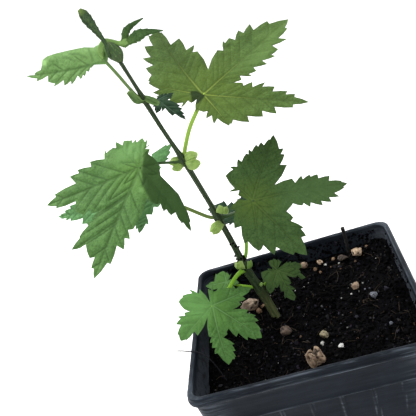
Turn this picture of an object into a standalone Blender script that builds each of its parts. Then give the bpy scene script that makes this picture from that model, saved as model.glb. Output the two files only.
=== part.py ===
"""A young hop bine growing in a square nursery pot.

Metres, +Z up. The origin is the centre of the pot's underside, X runs along the pot's near
edge and Y away from it. Sizes below are millimetres, and heights of the plant and the soil
are given from the plane of the pot's rim. MM turns them into metres.
"""

import math
from dataclasses import dataclass

import bmesh
import bpy
from mathutils import Matrix, Vector, noise
from mathutils.bvhtree import BVHTree
from mathutils.geometry import delaunay_2d_cdt

MM = 0.001
GAP = 0.3  # clearance between neighbouring solids

# Pot
POT_HEIGHT = 95.0
RIM_WIDTH = 90.0
RIM_HEIGHT = 3.3
RIM_LAND = 2.2
LIP_PROUD = 0.9
LIP_CHAMFER = 0.6
BASE_WIDTH = 71.0
WALL = 1.3
FLOOR = 1.6
FOOT_CHAMFER = 1.5
RIM_CORNER = 7.5
BASE_CORNER = 5.0
INNER_CORNER = 6.3
INNER_FOOT_CORNER = 4.0
THROAT_DEPTH = 4.0  # below the rim, where the thick rim has thinned to the wall
CORNER_STEPS = 4
BAND_HEIGHT = 15.0
PANEL_FOOT = 9.0
PANEL_DEPTH = 0.6
PANEL_PITCH = 10.8
PANEL_COUNT = 5
PANEL_SHIFT = 1.9
RIB_WIDTH = 1.2
DRAIN_RADIUS = 4.5
DRAIN_OFFSET = 22.0
DRAIN_SIDES = 12
CUT_OVERRUN = 2.0

# Soil: its height above the rim's plane (negative: below) at marks (x, y, height)
SOIL_CELLS = 17
SOIL_DEPTH = 12.0
SOIL_CORNER = 6.5
SOIL_MARKS = (
    (-40, -40, -17), (-30, -38, -16), (-41, -5, -12), (-38, 22, -10), (-12, 12, -12),
    (2, -26, -13), (25, -30, -11), (38, -25, -8), (39, 5, -7), (37, 36, -6),
    (10, 38, -9), (-20, 38, -10), (10, 5, -13), (22, 18, -12),
)
SOIL_BLEND = 30.0  # square millimetres that keep a mark from making a spike
SOIL_ROUGHNESS = 0.9
SOIL_LUMP = 7.0
SOCKET_RADIUS = 2.9
SOCKET_RISE = 8.0  # of the socket's cutter above the soil

# Stem: place (x, y, height above the rim) and radius, from the soil to the tip
STEM_POINTS = (
    (-10.9, 10.9, -26.0, 1.9), (-12.1, 10.7, -13.0, 1.95), (-13.4, 10.4, -3.5, 1.8),
    (-14.4, 10.3, 2.8, 2.15), (-15.7, 10.0, 8.1, 1.65), (-17.0, 9.8, 14.0, 1.8),
    (-17.5, 9.7, 16.2, 2.25), (-17.7, 9.7, 20.5, 1.35), (-18.9, 9.4, 31.0, 1.22),
    (-19.9, 9.2, 38.0, 1.3), (-20.2, 9.2, 40.3, 1.85), (-20.9, 9.0, 45.5, 1.05),
    (-22.4, 8.7, 54.5, 0.98), (-24.1, 8.4, 64.5, 1.1), (-24.6, 8.3, 67.3, 1.5),
    (-25.8, 8.1, 72.5, 0.88), (-28.0, 7.7, 83.0, 0.82), (-29.6, 7.3, 92.0, 0.9),
    (-29.9, 7.3, 93.8, 1.2), (-30.6, 7.2, 98.0, 0.7), (-31.8, 7.0, 104.5, 0.62),
    (-32.5, 6.9, 108.4, 0.7),
)
STEM_SIDES = 8
STEM_STEPS = 2

# Leaves
BLADE_THICKNESS = 0.7
STALK_SIDES = 6
STALK_STEPS = 3
MARGIN_STEPS = 5
BELLY_NEAR = 0.35  # along a lobe's side, where it is widest
BELLY_FAR = 0.75
BELLY_TAPER = 0.55
LONG_LOBE = 16.0
FADE = 25.0  # degrees over which a bend fades out beside its sector

# Stipules
STIPULE_ROWS = 4
STIPULE_COLUMNS = 4
STIPULE_THICKNESS = 0.5
STIPULE_NOTCH = 0.16
STIPULE_COLOUR = (0.36, 0.52, 0.22)


@dataclass(frozen=True)
class Lobe:
    """One lobe: angle from the leaf's heading (degrees, + to its left), length and belly."""

    angle: float
    length: float
    belly: float = 0.2


@dataclass(frozen=True)
class Bend:
    """A roll of the blade past a line: angle of the line's normal, distance, run and turn.

    The turn is in degrees, + towards the upper face. The sector (middle, half width) keeps
    the roll to a part of the leaf, fading over FADE degrees.
    """

    direction: float
    start: float
    run: float
    turn: float
    sector: tuple = (0.0, 360.0)


@dataclass(frozen=True)
class Leaf:
    """A leaf: where its hub is, how its blade faces, and its lobes from right to left."""

    name: str
    joint: tuple
    joint_radius: float
    hub: tuple
    facing: tuple
    heading: tuple
    lobes: tuple
    notches: tuple
    base: tuple
    stalk: tuple
    stalk_radius: float
    bends: tuple = ()
    colour: tuple = (0.10, 0.26, 0.06)


LEAVES = (
    Leaf(
        "leaf_lowest_left", (-14.7, 10.2, 3.6), 2.15, (-27.6, 14.3, 8.2),
        (-0.10, -0.40, 0.91), (-0.60, -0.75, -0.25),
        (Lobe(-125, 9.4, 0.26), Lobe(-62, 9.5), Lobe(0, 10.5), Lobe(55, 9.0), Lobe(104, 6.0, 0.25)),
        ((-92, 4.4), (-30, 4.4), (28, 4.4), (80, 3.6)), (165, 1.0),
        ((-18.6, 10.6, 5.3), (-23.0, 12.2, 6.4)), 0.6,
        colour=(0.07, 0.22, 0.05),
    ),
    Leaf(
        "leaf_lowest_right", (-14.4, 10.3, 3.0), 2.15, (-5.6, 15.4, 6.1),
        (0.52, -0.49, 0.70), (0.26, -0.69, -0.68),
        (
            Lobe(-165, 6.0, 0.28), Lobe(-108, 7.2, 0.28), Lobe(-47, 11.6, 0.22), Lobe(0, 14.5, 0.16),
            Lobe(52, 12.4, 0.2), Lobe(90, 11.7, 0.2),
        ),
        ((-137, 3.4), (-80, 4.2), (-26, 5.0), (25, 5.0), (71, 8.6)), (150, 1.0),
        ((-11.0, 11.9, 4.6), (-8.2, 14.2, 5.6)), 0.6,
        colour=(0.09, 0.20, 0.09),
    ),
    Leaf(
        "leaf_lower_left", (-17.4, 9.4, 15.2), 2.2, (-32.2, -5.3, 11.0),
        (0.52, -0.46, 0.72), (0.09, -0.82, -0.57),
        (
            Lobe(-108, 13.8, 0.24), Lobe(-54, 20.8, 0.2), Lobe(0, 24.8, 0.17),
            Lobe(47, 22.6, 0.2), Lobe(107, 20.0, 0.24),
        ),
        ((-80, 9.2), (-27, 8.2), (11, 8.4), (72, 8.6)), (-158, 1.4),
        ((-20.2, 5.6, 14.1), (-25.8, 0.2, 13.2)), 0.8,
        colour=(0.12, 0.34, 0.10),
    ),
    Leaf(
        "leaf_lower_right", (-17.5, 9.7, 17.0), 2.2, (-12.9, 26.5, 30.1),
        (0.05, -0.30, 0.95), (0.12, 0.95, 0.28),
        (
            Lobe(-112, 10.0, 0.24), Lobe(-60, 15.0, 0.2), Lobe(0, 17.0, 0.18),
            Lobe(62, 17.0, 0.2), Lobe(112, 11.0, 0.24),
        ),
        ((-86, 7.5), (-30, 7.0), (31, 7.0), (88, 8.0)), (180, 1.4),
        ((-14.9, 12.4, 20.4), (-12.6, 17.5, 28.0)), 0.8,
        colour=(0.06, 0.20, 0.08),
    ),
    Leaf(
        "leaf_middle_left", (-20.2, 9.2, 40.6), 1.85, (-42.5, 17.0, 52.6),
        (0.05, -0.66, 0.75), (-0.97, 0.17, 0.06),
        (
            Lobe(-104, 26.0, 0.2), Lobe(-56, 27.0, 0.2), Lobe(5, 40.5, 0.18),
            Lobe(63, 17.5, 0.2), Lobe(116, 10.0, 0.24),
        ),
        ((-81, 14.0), (-27, 13.0), (34, 10.5), (92, 7.0)), (178, 2.2),
        ((-23.8, 9.2, 41.6), (-33.0, 11.6, 48.4)), 0.65,
        colour=(0.07, 0.26, 0.12),
    ),
    Leaf(
        "leaf_middle_right", (-20.2, 9.2, 39.9), 1.85, (-4.3, 1.4, 46.2),
        (0.24, -0.62, 0.745), (0.97, 0.15, -0.18),
        (
            Lobe(-112, 18.5, 0.22), Lobe(-59, 29.3, 0.19), Lobe(0, 36.4, 0.2),
            Lobe(62, 30.5, 0.19), Lobe(118, 15.0, 0.22),
        ),
        ((-95, 18.0), (-31, 13.7), (28, 11.0), (101, 15.2)), (162, 2.0),
        ((-15.6, 8.6, 39.9), (-9.8, 6.4, 41.6)), 0.8,
        colour=(0.06, 0.19, 0.04),
    ),
    Leaf(
        "leaf_upper_left", (-24.6, 8.3, 66.9), 1.5, (-39.1, 0.5, 72.4),
        (-0.01, -0.57, 0.82), (-0.48, -0.72, -0.51),
        (
            Lobe(-158, 14.0, 0.24), Lobe(-112, 19.5, 0.2), Lobe(-56, 38.5, 0.18), Lobe(0, 44.8, 0.19),
            Lobe(54, 35.8, 0.19), Lobe(108, 17.0, 0.22),
        ),
        ((-135, 13.4), (-92, 18.8), (-26, 20.0), (32, 14.5), (86, 14.0)), (165, 2.4),
        ((-28.2, 6.7, 68.3), (-34.0, 3.0, 70.9)), 0.6,
        (Bend(140, 2.6, 2.2, -115.0, (100, 62)),),
        colour=(0.10, 0.28, 0.08),
    ),
    Leaf(
        "leaf_upper_right", (-24.3, 8.4, 67.6), 1.5, (-11.1, 23.3, 85.0),
        (0.19, -0.50, 0.845), (0.75, 0.63, 0.20),
        (
            Lobe(-112, 20.5, 0.22), Lobe(-59, 40.4, 0.19), Lobe(0, 52.8, 0.17),
            Lobe(66, 44.5, 0.19), Lobe(117, 21.0, 0.22),
        ),
        ((-97, 21.0), (-20, 10.6), (34, 14.3), (100, 24.0)), (168, 3.2),
        ((-22.4, 9.9, 71.6), (-18.2, 14.6, 77.8)), 0.7,
        colour=(0.08, 0.22, 0.04),
    ),
    Leaf(
        "leaf_top_left", (-30.9, 6.7, 94.2), 1.2, (-37.2, 5.5, 111.3),
        (0.05, -0.80, 0.60), (-0.99, 0.04, 0.14),
        (Lobe(-82, 6.8, 0.1), Lobe(-46, 14.5, 0.22), Lobe(0, 29.7, 0.2), Lobe(25, 16.0, 0.02)),
        ((-70, 7.2), (-24, 19.0), (14, 18.0)), (100, 0.9),
        ((-32.2, 6.4, 97.4), (-35.3, 5.9, 106.2)), 0.5,
        (Bend(-90, 6.0, 2.6, -150.0),),
        colour=(0.18, 0.42, 0.14),
    ),
    Leaf(
        "leaf_top_right", (-29.9, 7.3, 94.2), 1.2, (-25.6, 9.6, 91.8),
        (0.30, -0.60, 0.74), (0.72, -0.35, -0.60),
        (Lobe(-64, 6.0, 0.22), Lobe(0, 12.0, 0.2), Lobe(62, 6.5, 0.22)),
        ((-34, 3.4), (33, 3.4)), (180, 0.8),
        ((-27.6, 8.4, 93.6), (-26.6, 9.0, 92.8)), 0.4,
        (Bend(90, 0.0, 2.0, -70.0),),
        colour=(0.03, 0.09, 0.04),
    ),
)


@dataclass(frozen=True)
class Stipule:
    """A pale bract at a joint of the stem: its foot, the way it points, and its size."""

    name: str
    foot: tuple
    axis: tuple
    outward: tuple
    length: float
    width: float
    cup: float = 0.35


STIPULES = (
    Stipule("stipule_lower_left", (-19.9, 8.0, 16.3), (0.05, -0.05, 1.0), (-0.80, -0.60, 0.0), 5.4, 3.2),
    Stipule("stipule_lower_right", (-14.7, 8.9, 14.8), (0.35, -0.10, 1.0), (0.85, -0.50, 0.0), 4.8, 2.6),
    Stipule("stipule_middle_left", (-19.4, 6.1, 38.9), (-0.85, -0.05, -0.50), (-0.30, -0.90, 0.2), 5.6, 4.6),
    Stipule("stipule_middle_right", (-18.2, 6.9, 42.0), (0.50, 0.00, 0.86), (0.25, -0.95, 0.15), 4.4, 5.0),
    Stipule("stipule_upper_left", (-26.6, 9.9, 67.2), (-0.95, 0.00, -0.30), (0.0, 1.0, 0.0), 4.2, 5.2),
    Stipule("stipule_upper_right", (-23.2, 6.3, 66.8), (0.98, -0.05, 0.08), (0.05, -0.95, 0.3), 5.8, 7.0),
    Stipule("stipule_top_left", (-31.0, 5.9, 92.4), (-0.38, -0.05, 0.92), (-0.80, -0.45, -0.35), 6.4, 3.2),
    Stipule("stipule_top_right", (-28.2, 6.4, 93.8), (0.80, -0.05, -0.45), (0.25, -0.90, 0.4), 5.0, 2.0),
)


@dataclass(frozen=True)
class Spindle:
    """A bud or a young folded leaf: a path, its widest half width and its flatness."""

    name: str
    path: tuple
    half_widths: tuple
    flatness: float
    side: tuple
    colour: tuple


SPINDLE_STEPS = 2
SPINDLE_SIDES = 8
SPINDLES = (
    Spindle(
        "bud_lowest", ((-13.2, 8.1, 5.3), (-12.8, 8.0, 6.2), (-12.4, 7.9, 7.0)), (0.4, 0.75, 0.25),
        0.9, (1, 0, 0), (0.30, 0.45, 0.15),
    ),
    Spindle(
        "tip_bud",
        ((-32.6, 7.5, 109.8), (-33.0, 7.5, 111.4), (-33.6, 7.5, 113.4), (-34.0, 7.6, 115.6),
         (-34.1, 7.6, 116.6)),
        (1.0, 2.3, 2.5, 1.7, 0.7), 0.8, (1, 0, 0), (0.05, 0.11, 0.05),
    ),
    Spindle(
        "tip_leaf_folded",
        ((-35.1, 4.9, 113.2), (-35.1, 5.4, 116.4), (-35.6, 5.8, 118.9), (-36.4, 6.4, 122.2),
         (-37.4, 7.0, 125.6), (-38.4, 7.4, 128.4), (-39.4, 7.8, 130.6)),
        (0.5, 0.6, 0.85, 1.7, 1.85, 1.7, 0.4), 0.35, (1, 0, 0.3), (0.06, 0.16, 0.05),
    ),
    Spindle(
        "tip_leaf_inner",
        ((-30.6, 8.3, 114.6), (-28.6, 8.8, 116.8), (-26.6, 9.6, 119.0), (-23.6, 10.6, 119.8),
         (-20.6, 11.4, 120.2)),
        (0.7, 1.2, 1.5, 0.9, 0.2), 0.35, (0, 0, 1), (0.10, 0.24, 0.06),
    ),
    Spindle(
        "tip_leaf_outer",
        ((-30.2, 7.4, 113.2), (-27.6, 7.4, 113.6), (-24.0, 7.8, 115.6), (-20.0, 8.4, 115.4),
         (-15.6, 9.0, 113.6)),
        (0.6, 1.2, 1.9, 1.3, 0.2), 0.35, (0, 0, 1), (0.09, 0.22, 0.05),
    ),
)


@dataclass(frozen=True)
class Chip:
    """A loose chip on the soil: its middle in plan, its three sizes and its turn."""

    name: str
    x: float
    y: float
    size: tuple
    turn: float
    colour: tuple = (0.42, 0.27, 0.16)


CHIPS = (
    Chip("bark_chip_front", 1.6, -26.3, (7.4, 6.2, 7.6), 20),
    Chip("bark_chip_left", -22.6, 18.8, (8.6, 5.6, 5.0), -15),
    Chip("bark_chip_striped", -8.3, -3.4, (5.6, 4.4, 3.2), 50, (0.12, 0.08, 0.06)),
    Chip("bark_chip_back_right", 28.1, 33.4, (4.8, 3.6, 4.2), 30),
    Chip("bark_chip_back_middle", 21.6, 35.2, (4.6, 3.6, 2.6), -20, (0.20, 0.14, 0.10)),
    Chip("bark_chip_back_left", 11.3, 36.8, (3.2, 2.6, 2.8), 60),
    Chip("pebble_back_left", 3.5, 38.0, (4.4, 3.4, 3.2), 10, (0.50, 0.38, 0.30)),
    Chip("pebble_right", 23.0, 13.6, (3.4, 3.2, 2.8), 0, (0.48, 0.30, 0.18)),
    Chip("pebble_middle", 6.2, -12.8, (3.6, 3.4, 3.0), 0, (0.45, 0.40, 0.28)),
    Chip("perlite_white", 11.5, -21.3, (2.2, 2.0, 1.9), 0, (0.80, 0.80, 0.78)),
    Chip("perlite_grey", 29.0, 1.8, (3.4, 2.8, 2.2), 40, (0.40, 0.40, 0.42)),
)
CHIP_LUMPS = 0.16
CHIP_PROBES = 9  # rays each way that feel for the soil under a chip

TWIG_FOOT = (25.0, 40.6, -6.0)
TWIG_TOP = (25.3, 41.0, 3.6)
TWIG_RADIUS = 0.8


def above_base(x, y, z):
    """A point given in millimetres from the rim's plane, as metres from the pot's base."""
    return Vector((x, y, POT_HEIGHT + z)) * MM


def material(name, colour, roughness, sheen=0.0):
    """A Principled material in one colour."""
    made = bpy.data.materials.new(name)
    made.use_nodes = True
    shader = made.node_tree.nodes["Principled BSDF"]
    shader.inputs["Base Color"].default_value = (*colour, 1.0)
    shader.inputs["Roughness"].default_value = roughness
    shader.inputs["Sheen Weight"].default_value = sheen
    made.diffuse_color = (*colour, 1.0)
    return made


def add_object(name, mesh, surface, smooth=True):
    """Link a mesh to the scene as an object, with its faces turned outwards."""
    shape = bmesh.new()
    shape.from_mesh(mesh)
    bmesh.ops.recalc_face_normals(shape, faces=shape.faces)
    if shape.calc_volume(signed=True) < 0:
        bmesh.ops.reverse_faces(shape, faces=shape.faces)
    shape.to_mesh(mesh)
    shape.free()
    if smooth:
        mesh.shade_smooth()
        mesh.set_sharp_from_angle(angle=math.radians(40))
    mesh.materials.append(surface)
    made = bpy.data.objects.new(name, mesh)
    bpy.context.scene.collection.objects.link(made)
    return made


def mesh_from(name, points, faces):
    """A mesh from points and faces."""
    mesh = bpy.data.meshes.new(name)
    mesh.from_pydata([tuple(point) for point in points], [], faces)
    return mesh


def loft(name, rings):
    """A closed mesh through rings of equal length, capped at both ends."""
    count = len(rings[0])
    points = [point for ring in rings for point in ring]
    faces = []
    for level in range(len(rings) - 1):
        low = level * count
        high = low + count
        for i in range(count):
            j = (i + 1) % count
            faces.append((low + i, low + j, high + j, high + i))
    faces.append(tuple(reversed(range(count))))
    faces.append(tuple(range(len(points) - count, len(points))))
    return mesh_from(name, points, faces)


def rounded_square(half, corner, z):
    """A ring of points round a square with rounded corners, at a height in millimetres."""
    ring = []
    for quarter in range(4):
        middle = Vector((half - corner, half - corner))
        for step in range(CORNER_STEPS + 1):
            angle = math.radians(90 * step / CORNER_STEPS)
            corner_point = middle + corner * Vector((math.cos(angle), math.sin(angle)))
            turned = Matrix.Rotation(math.radians(90 * quarter), 2) @ corner_point
            ring.append(Vector((turned.x, turned.y, z)) * MM)
    return ring


def wall_half(z):
    """Half the pot's outer width at a height above the base."""
    top = RIM_WIDTH / 2 - LIP_PROUD
    return BASE_WIDTH / 2 + (top - BASE_WIDTH / 2) * z / POT_HEIGHT


def wall_corner(z):
    """The pot's corner radius at a height above the base."""
    return BASE_CORNER + (RIM_CORNER - BASE_CORNER) * z / POT_HEIGHT


def inner_half(z):
    """Half the pot's inner width at a height above the base."""
    return wall_half(z) - WALL


def use_cutter(target, cutter, operation="DIFFERENCE"):
    """Add a Boolean modifier, and keep its other object out of the model."""
    cutter.hide_render = True
    cutter.display_type = "WIRE"
    boolean = target.modifiers.new(cutter.name, "BOOLEAN")
    boolean.operation = operation
    boolean.object = cutter
    boolean.solver = "EXACT"


def boxes_mesh(name, boxes):
    """One mesh of separate boxes, each given by its eight corners: low ring, then high ring."""
    points = []
    faces = []
    for box in boxes:
        k = len(points)
        points += box
        faces += [
            (k, k + 3, k + 2, k + 1), (k + 4, k + 5, k + 6, k + 7), (k, k + 1, k + 5, k + 4),
            (k + 1, k + 2, k + 6, k + 5), (k + 2, k + 3, k + 7, k + 6), (k + 3, k, k + 4, k + 7),
        ]
    return mesh_from(name, points, faces)


def panel_boxes():
    """The slabs that sink the panels between the ribs, on all four sides of the pot."""
    first = PANEL_SHIFT - PANEL_PITCH * PANEL_COUNT / 2
    low, high = PANEL_FOOT, POT_HEIGHT - BAND_HEIGHT
    boxes = []
    for side in range(4):
        turn = Matrix.Rotation(math.radians(90 * side), 3, "Z")
        for k in range(PANEL_COUNT):
            left = first + k * PANEL_PITCH + RIB_WIDTH / 2
            right = left + PANEL_PITCH - RIB_WIDTH
            box = []
            for z in (low, high):
                face = -(wall_half(z) - PANEL_DEPTH)
                outside = face - PANEL_DEPTH - CUT_OVERRUN
                for x, y in ((left, outside), (right, outside), (right, face), (left, face)):
                    box.append(turn @ Vector((x, y, z)) * MM)
            boxes.append(box)
    return boxes


def cylinder_ring(x, y, z, radius, sides):
    """A level ring of points in millimetres."""
    ring = []
    for i in range(sides):
        angle = 2 * math.pi * i / sides
        ring.append(Vector((x + radius * math.cos(angle), y + radius * math.sin(angle), z)) * MM)
    return ring


def build_pot(surface):
    """The pot: tapered walls, a proud lip, sunk panels and four drain holes."""
    half = RIM_WIDTH / 2
    lip_low = POT_HEIGHT - RIM_HEIGHT
    throat = POT_HEIGHT - THROAT_DEPTH
    rings = [
        rounded_square(wall_half(0) - FOOT_CHAMFER, BASE_CORNER, 0),
        rounded_square(wall_half(FOOT_CHAMFER), BASE_CORNER, FOOT_CHAMFER),
        rounded_square(wall_half(lip_low - LIP_CHAMFER), wall_corner(lip_low), lip_low - LIP_CHAMFER),
        rounded_square(half, RIM_CORNER, lip_low),
        rounded_square(half, RIM_CORNER, POT_HEIGHT),
        rounded_square(half - RIM_LAND, INNER_CORNER, POT_HEIGHT),
        rounded_square(inner_half(throat), INNER_CORNER, throat),
        rounded_square(inner_half(FLOOR), INNER_FOOT_CORNER, FLOOR),
    ]
    pot = add_object("pot", loft("pot", rings), surface)
    panels = add_object("pot_panel_cutter", boxes_mesh("pot_panel_cutter", panel_boxes()), surface, False)
    use_cutter(pot, panels)
    for i in range(4):
        x = DRAIN_OFFSET * (1 if i % 2 else -1)
        y = DRAIN_OFFSET * (1 if i > 1 else -1)
        ends = (-CUT_OVERRUN, FLOOR + CUT_OVERRUN)
        drill = [cylinder_ring(x, y, z, DRAIN_RADIUS, DRAIN_SIDES) for z in ends]
        name = f"pot_drain_cutter_{i + 1}"
        use_cutter(pot, add_object(name, loft(name, drill), surface, False))
    return pot


def soil_height(x, y):
    """Height of the soil above the rim's plane (negative: below), weighted from the marks."""
    total = 0.0
    weights = 0.0
    for mark_x, mark_y, mark_z in SOIL_MARKS:
        weight = 1.0 / ((x - mark_x) ** 2 + (y - mark_y) ** 2 + SOIL_BLEND)
        total += weight * mark_z
        weights += weight
    lump = noise.noise(Vector((x, y, 0.0)) / SOIL_LUMP)
    return total / weights + SOIL_ROUGHNESS * lump


def soil_point(u, v, z_of):
    """A point of the soil's square grid: u and v run from -1 to 1 over the pot's inside."""
    reach = inner_half(POT_HEIGHT - SOIL_DEPTH) - GAP
    straight = reach - SOIL_CORNER
    x, y = u * reach, v * reach
    over_x, over_y = abs(x) - straight, abs(y) - straight
    if over_x > 0 and over_y > 0:
        fit = max(over_x, over_y) / math.hypot(over_x, over_y)
        x = math.copysign(straight + over_x * fit, x)
        y = math.copysign(straight + over_y * fit, y)
    z = z_of(x, y)
    narrowing = (inner_half(POT_HEIGHT + z) - GAP) / reach
    return Vector((x * narrowing, y * narrowing, POT_HEIGHT + z)) * MM


def soil_rim():
    """Grid places round the soil's edge, anticlockwise."""
    n = SOIL_CELLS
    edge = [(i, 0) for i in range(n)] + [(n, j) for j in range(n)]
    edge += [(i, n) for i in range(n, 0, -1)] + [(0, j) for j in range(n, 0, -1)]
    return edge


def build_soil(surface):
    """The soil: an uneven top, sides that follow the pot, and a socket for the stem."""
    n = SOIL_CELLS
    points = []
    for j in range(n + 1):
        for i in range(n + 1):
            points.append(soil_point(2 * i / n - 1, 2 * j / n - 1, soil_height))
    faces = []
    for j in range(n):
        for i in range(n):
            k = j * (n + 1) + i
            faces.append((k, k + 1, k + n + 2))
            faces.append((k, k + n + 2, k + n + 1))
    rim = [j * (n + 1) + i for i, j in soil_rim()]
    below = FLOOR + GAP - POT_HEIGHT
    foot = []
    for i, j in soil_rim():
        foot.append(len(points))
        points.append(soil_point(2 * i / n - 1, 2 * j / n - 1, lambda x, y: below))
    for k, top in enumerate(rim):
        after = (k + 1) % len(rim)
        faces.append((top, foot[k], foot[after], rim[after]))
    faces.append(tuple(reversed(foot)))
    soil = add_object("soil", mesh_from("soil", points, faces), surface)
    low_x, low_y = STEM_POINTS[0][:2]
    top_x, top_y, top_z = STEM_POINTS[1][:3]
    bottom = STEM_POINTS[0][2] - 2 * GAP
    socket = [
        cylinder_ring(low_x, low_y, POT_HEIGHT + bottom, SOCKET_RADIUS, STEM_SIDES * 2),
        cylinder_ring(top_x, top_y, POT_HEIGHT + top_z, SOCKET_RADIUS, STEM_SIDES * 2),
        cylinder_ring(top_x, top_y, POT_HEIGHT + top_z + SOCKET_RISE, SOCKET_RADIUS, STEM_SIDES * 2),
    ]
    use_cutter(soil, add_object("soil_socket_cutter", loft("soil_socket_cutter", socket), surface, False))
    return soil


def smooth_path(points, steps):
    """Points along a Catmull-Rom curve through the given tuples."""
    made = []
    for i in range(len(points) - 1):
        before = Vector(points[max(i - 1, 0)])
        start = Vector(points[i])
        end = Vector(points[i + 1])
        after = Vector(points[min(i + 2, len(points) - 1)])
        for step in range(steps):
            t = step / steps
            made.append(
                0.5 * (2 * start + (end - before) * t + (2 * before - 5 * start + 4 * end - after) * t**2
                       + (3 * start - before - 3 * end + after) * t**3)
            )
    made.append(Vector(points[-1]))
    return made


def sweep(path, half_widths, sides, flatness=1.0, side=(1, 0, 0)):
    """Rings of an oval section along a path of points in metres."""
    rings = []
    for i, point in enumerate(path):
        ahead = path[min(i + 1, len(path) - 1)] - path[max(i - 1, 0)]
        along = ahead.normalized()
        wide = Vector(side) - along * along.dot(Vector(side))
        wide.normalize()
        thin = along.cross(wide)
        ring = []
        for k in range(sides):
            angle = 2 * math.pi * k / sides
            reach = wide * math.cos(angle) + thin * math.sin(angle) * flatness
            ring.append(point + reach * half_widths[i] * MM)
        rings.append(ring)
    return rings


def build_stem(surface):
    """The climbing stem, thicker at its joints, from its buried foot to the tip bud."""
    places = smooth_path(STEM_POINTS, STEM_STEPS)
    path = [above_base(*place[:3]) for place in places]
    radii = [place[3] for place in places]
    return add_object("stem", loft("stem", sweep(path, radii, STEM_SIDES)), surface)


def turned(angle):
    """The plane direction at an angle in degrees from the leaf's heading."""
    return Vector((math.cos(math.radians(angle)), math.sin(math.radians(angle))))


def margin(start, tip, belly, outward):
    """Points of one side of a lobe from its notch towards its tip, without the tip."""
    chord = tip - start
    span = chord.length
    first = start + chord * BELLY_NEAR + outward * belly * span
    second = start + chord * BELLY_FAR + outward * belly * span * BELLY_TAPER
    made = []
    for step in range(MARGIN_STEPS):
        t = step / MARGIN_STEPS
        made.append(
            start * (1 - t) ** 3 + first * 3 * t * (1 - t) ** 2 + second * 3 * t**2 * (1 - t) + tip * t**3
        )
    return made


def leaf_outline(leaf):
    """The blade's outline in its own plane, in millimetres, anticlockwise from the base."""
    base = turned(leaf.base[0]) * leaf.base[1]
    notches = [base] + [turned(angle) * reach for angle, reach in leaf.notches] + [base]
    outline = []
    for i, lobe in enumerate(leaf.lobes):
        axis = turned(lobe.angle)
        tip = axis * lobe.length
        left = Vector((-axis.y, axis.x))
        outline += margin(notches[i], tip, lobe.belly, -left)
        outline.append(tip)
        back = margin(notches[i + 1], tip, lobe.belly, left)
        outline += list(reversed(back))[:-1]
    return outline


def vein_points(leaf):
    """Points along the middle of each lobe, which carry the blade's shape inside its outline."""
    made = [Vector((0.0, 0.0))]
    for lobe in leaf.lobes:
        count = 4 if lobe.length > LONG_LOBE else 2
        made += [turned(lobe.angle) * lobe.length * (k + 1) / (count + 1) for k in range(count)]
    return made


def rolled(point, bend):
    """A point of the blade after a roll past the bend's line."""
    direction = turned(bend.direction)
    across = point.x * direction.x + point.y * direction.y - bend.start
    if across <= 0:
        return point
    middle, half = bend.sector
    away = abs((math.degrees(math.atan2(point.y, point.x)) - middle + 180) % 360 - 180)
    share = min(max((half + FADE - away) / FADE, 0.0), 1.0)
    turn = math.radians(bend.turn) * share
    if abs(turn) < 1e-4:
        return point
    radius = bend.run / turn
    angle = turn * min(across / bend.run, 1.0)
    past = max(across - bend.run, 0.0)
    forward = radius * math.sin(angle) + past * math.cos(angle)
    up = radius * (1 - math.cos(angle)) + past * math.sin(angle)
    forward -= point.z * math.sin(angle)
    up += point.z * math.cos(angle)
    flat = direction * (forward - across)
    return Vector((point.x + flat.x, point.y + flat.y, up))


def leaf_axes(leaf):
    """The blade's heading, left and facing directions, square to each other."""
    facing = Vector(leaf.facing).normalized()
    heading = Vector(leaf.heading)
    heading = (heading - facing * heading.dot(facing)).normalized()
    return heading, facing.cross(heading), facing


def leaf_place(leaf, point):
    """A point of the blade's own space (millimetres) in the pot's frame (metres)."""
    for bend in leaf.bends:
        point = rolled(point, bend)
    heading, left, facing = leaf_axes(leaf)
    return above_base(*leaf.hub) + (heading * point.x + left * point.y + facing * point.z) * MM


def build_blade(leaf, surface):
    """The blade as a thin closed solid that follows the leaf's outline and bends."""
    outline = leaf_outline(leaf)
    inside = vein_points(leaf)
    ring = list(range(len(outline)))
    flat, _, triangles, _, _, _ = delaunay_2d_cdt(outline + inside, [], [ring], 1, 1e-5)
    edge_count = {}
    for triangle in triangles:
        for k in range(len(triangle)):
            pair = frozenset((triangle[k], triangle[(k + 1) % len(triangle)]))
            edge_count[pair] = edge_count.get(pair, 0) + 1
    upper = [leaf_place(leaf, Vector((p.x, p.y, 0.0))) for p in flat]
    lower = [leaf_place(leaf, Vector((p.x, p.y, -BLADE_THICKNESS))) for p in flat]
    count = len(flat)
    faces = [tuple(triangle) for triangle in triangles]
    faces += [tuple(count + k for k in reversed(triangle)) for triangle in triangles]
    for triangle in triangles:
        for k in range(len(triangle)):
            a, b = triangle[k], triangle[(k + 1) % len(triangle)]
            if edge_count[frozenset((a, b))] == 1:
                faces.append((b, a, count + a, count + b))
    return add_object(leaf.name, mesh_from(leaf.name, upper + lower, faces), surface)


def stalk_path(leaf):
    """The stalk's middle line in metres, from beside the stem to just inside the blade."""
    joint = Vector(leaf.joint)
    first = Vector(leaf.stalk[0])
    way = (first - joint).normalized()
    start = joint + way * (leaf.joint_radius + GAP + leaf.stalk_radius)
    facing = Vector(leaf.facing).normalized()
    end = Vector(leaf.hub) - facing * BLADE_THICKNESS * 0.5
    places = [tuple(start), leaf.stalk[0], leaf.stalk[1], tuple(end)]
    return [above_base(*place) for place in smooth_path(places, STALK_STEPS)]


def build_leaf(leaf):
    """A leaf: its blade joined to its stalk."""
    surface = material(leaf.name, leaf.colour, 0.55)
    blade = build_blade(leaf, surface)
    path = stalk_path(leaf)
    widths = [leaf.stalk_radius] * len(path)
    name = f"{leaf.name}_stalk"
    stalk = add_object(name, loft(name, sweep(path, widths, STALK_SIDES, 1.0, (0.3, 0.2, 0.9))), surface)
    use_cutter(blade, stalk, "UNION")
    return blade


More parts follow.
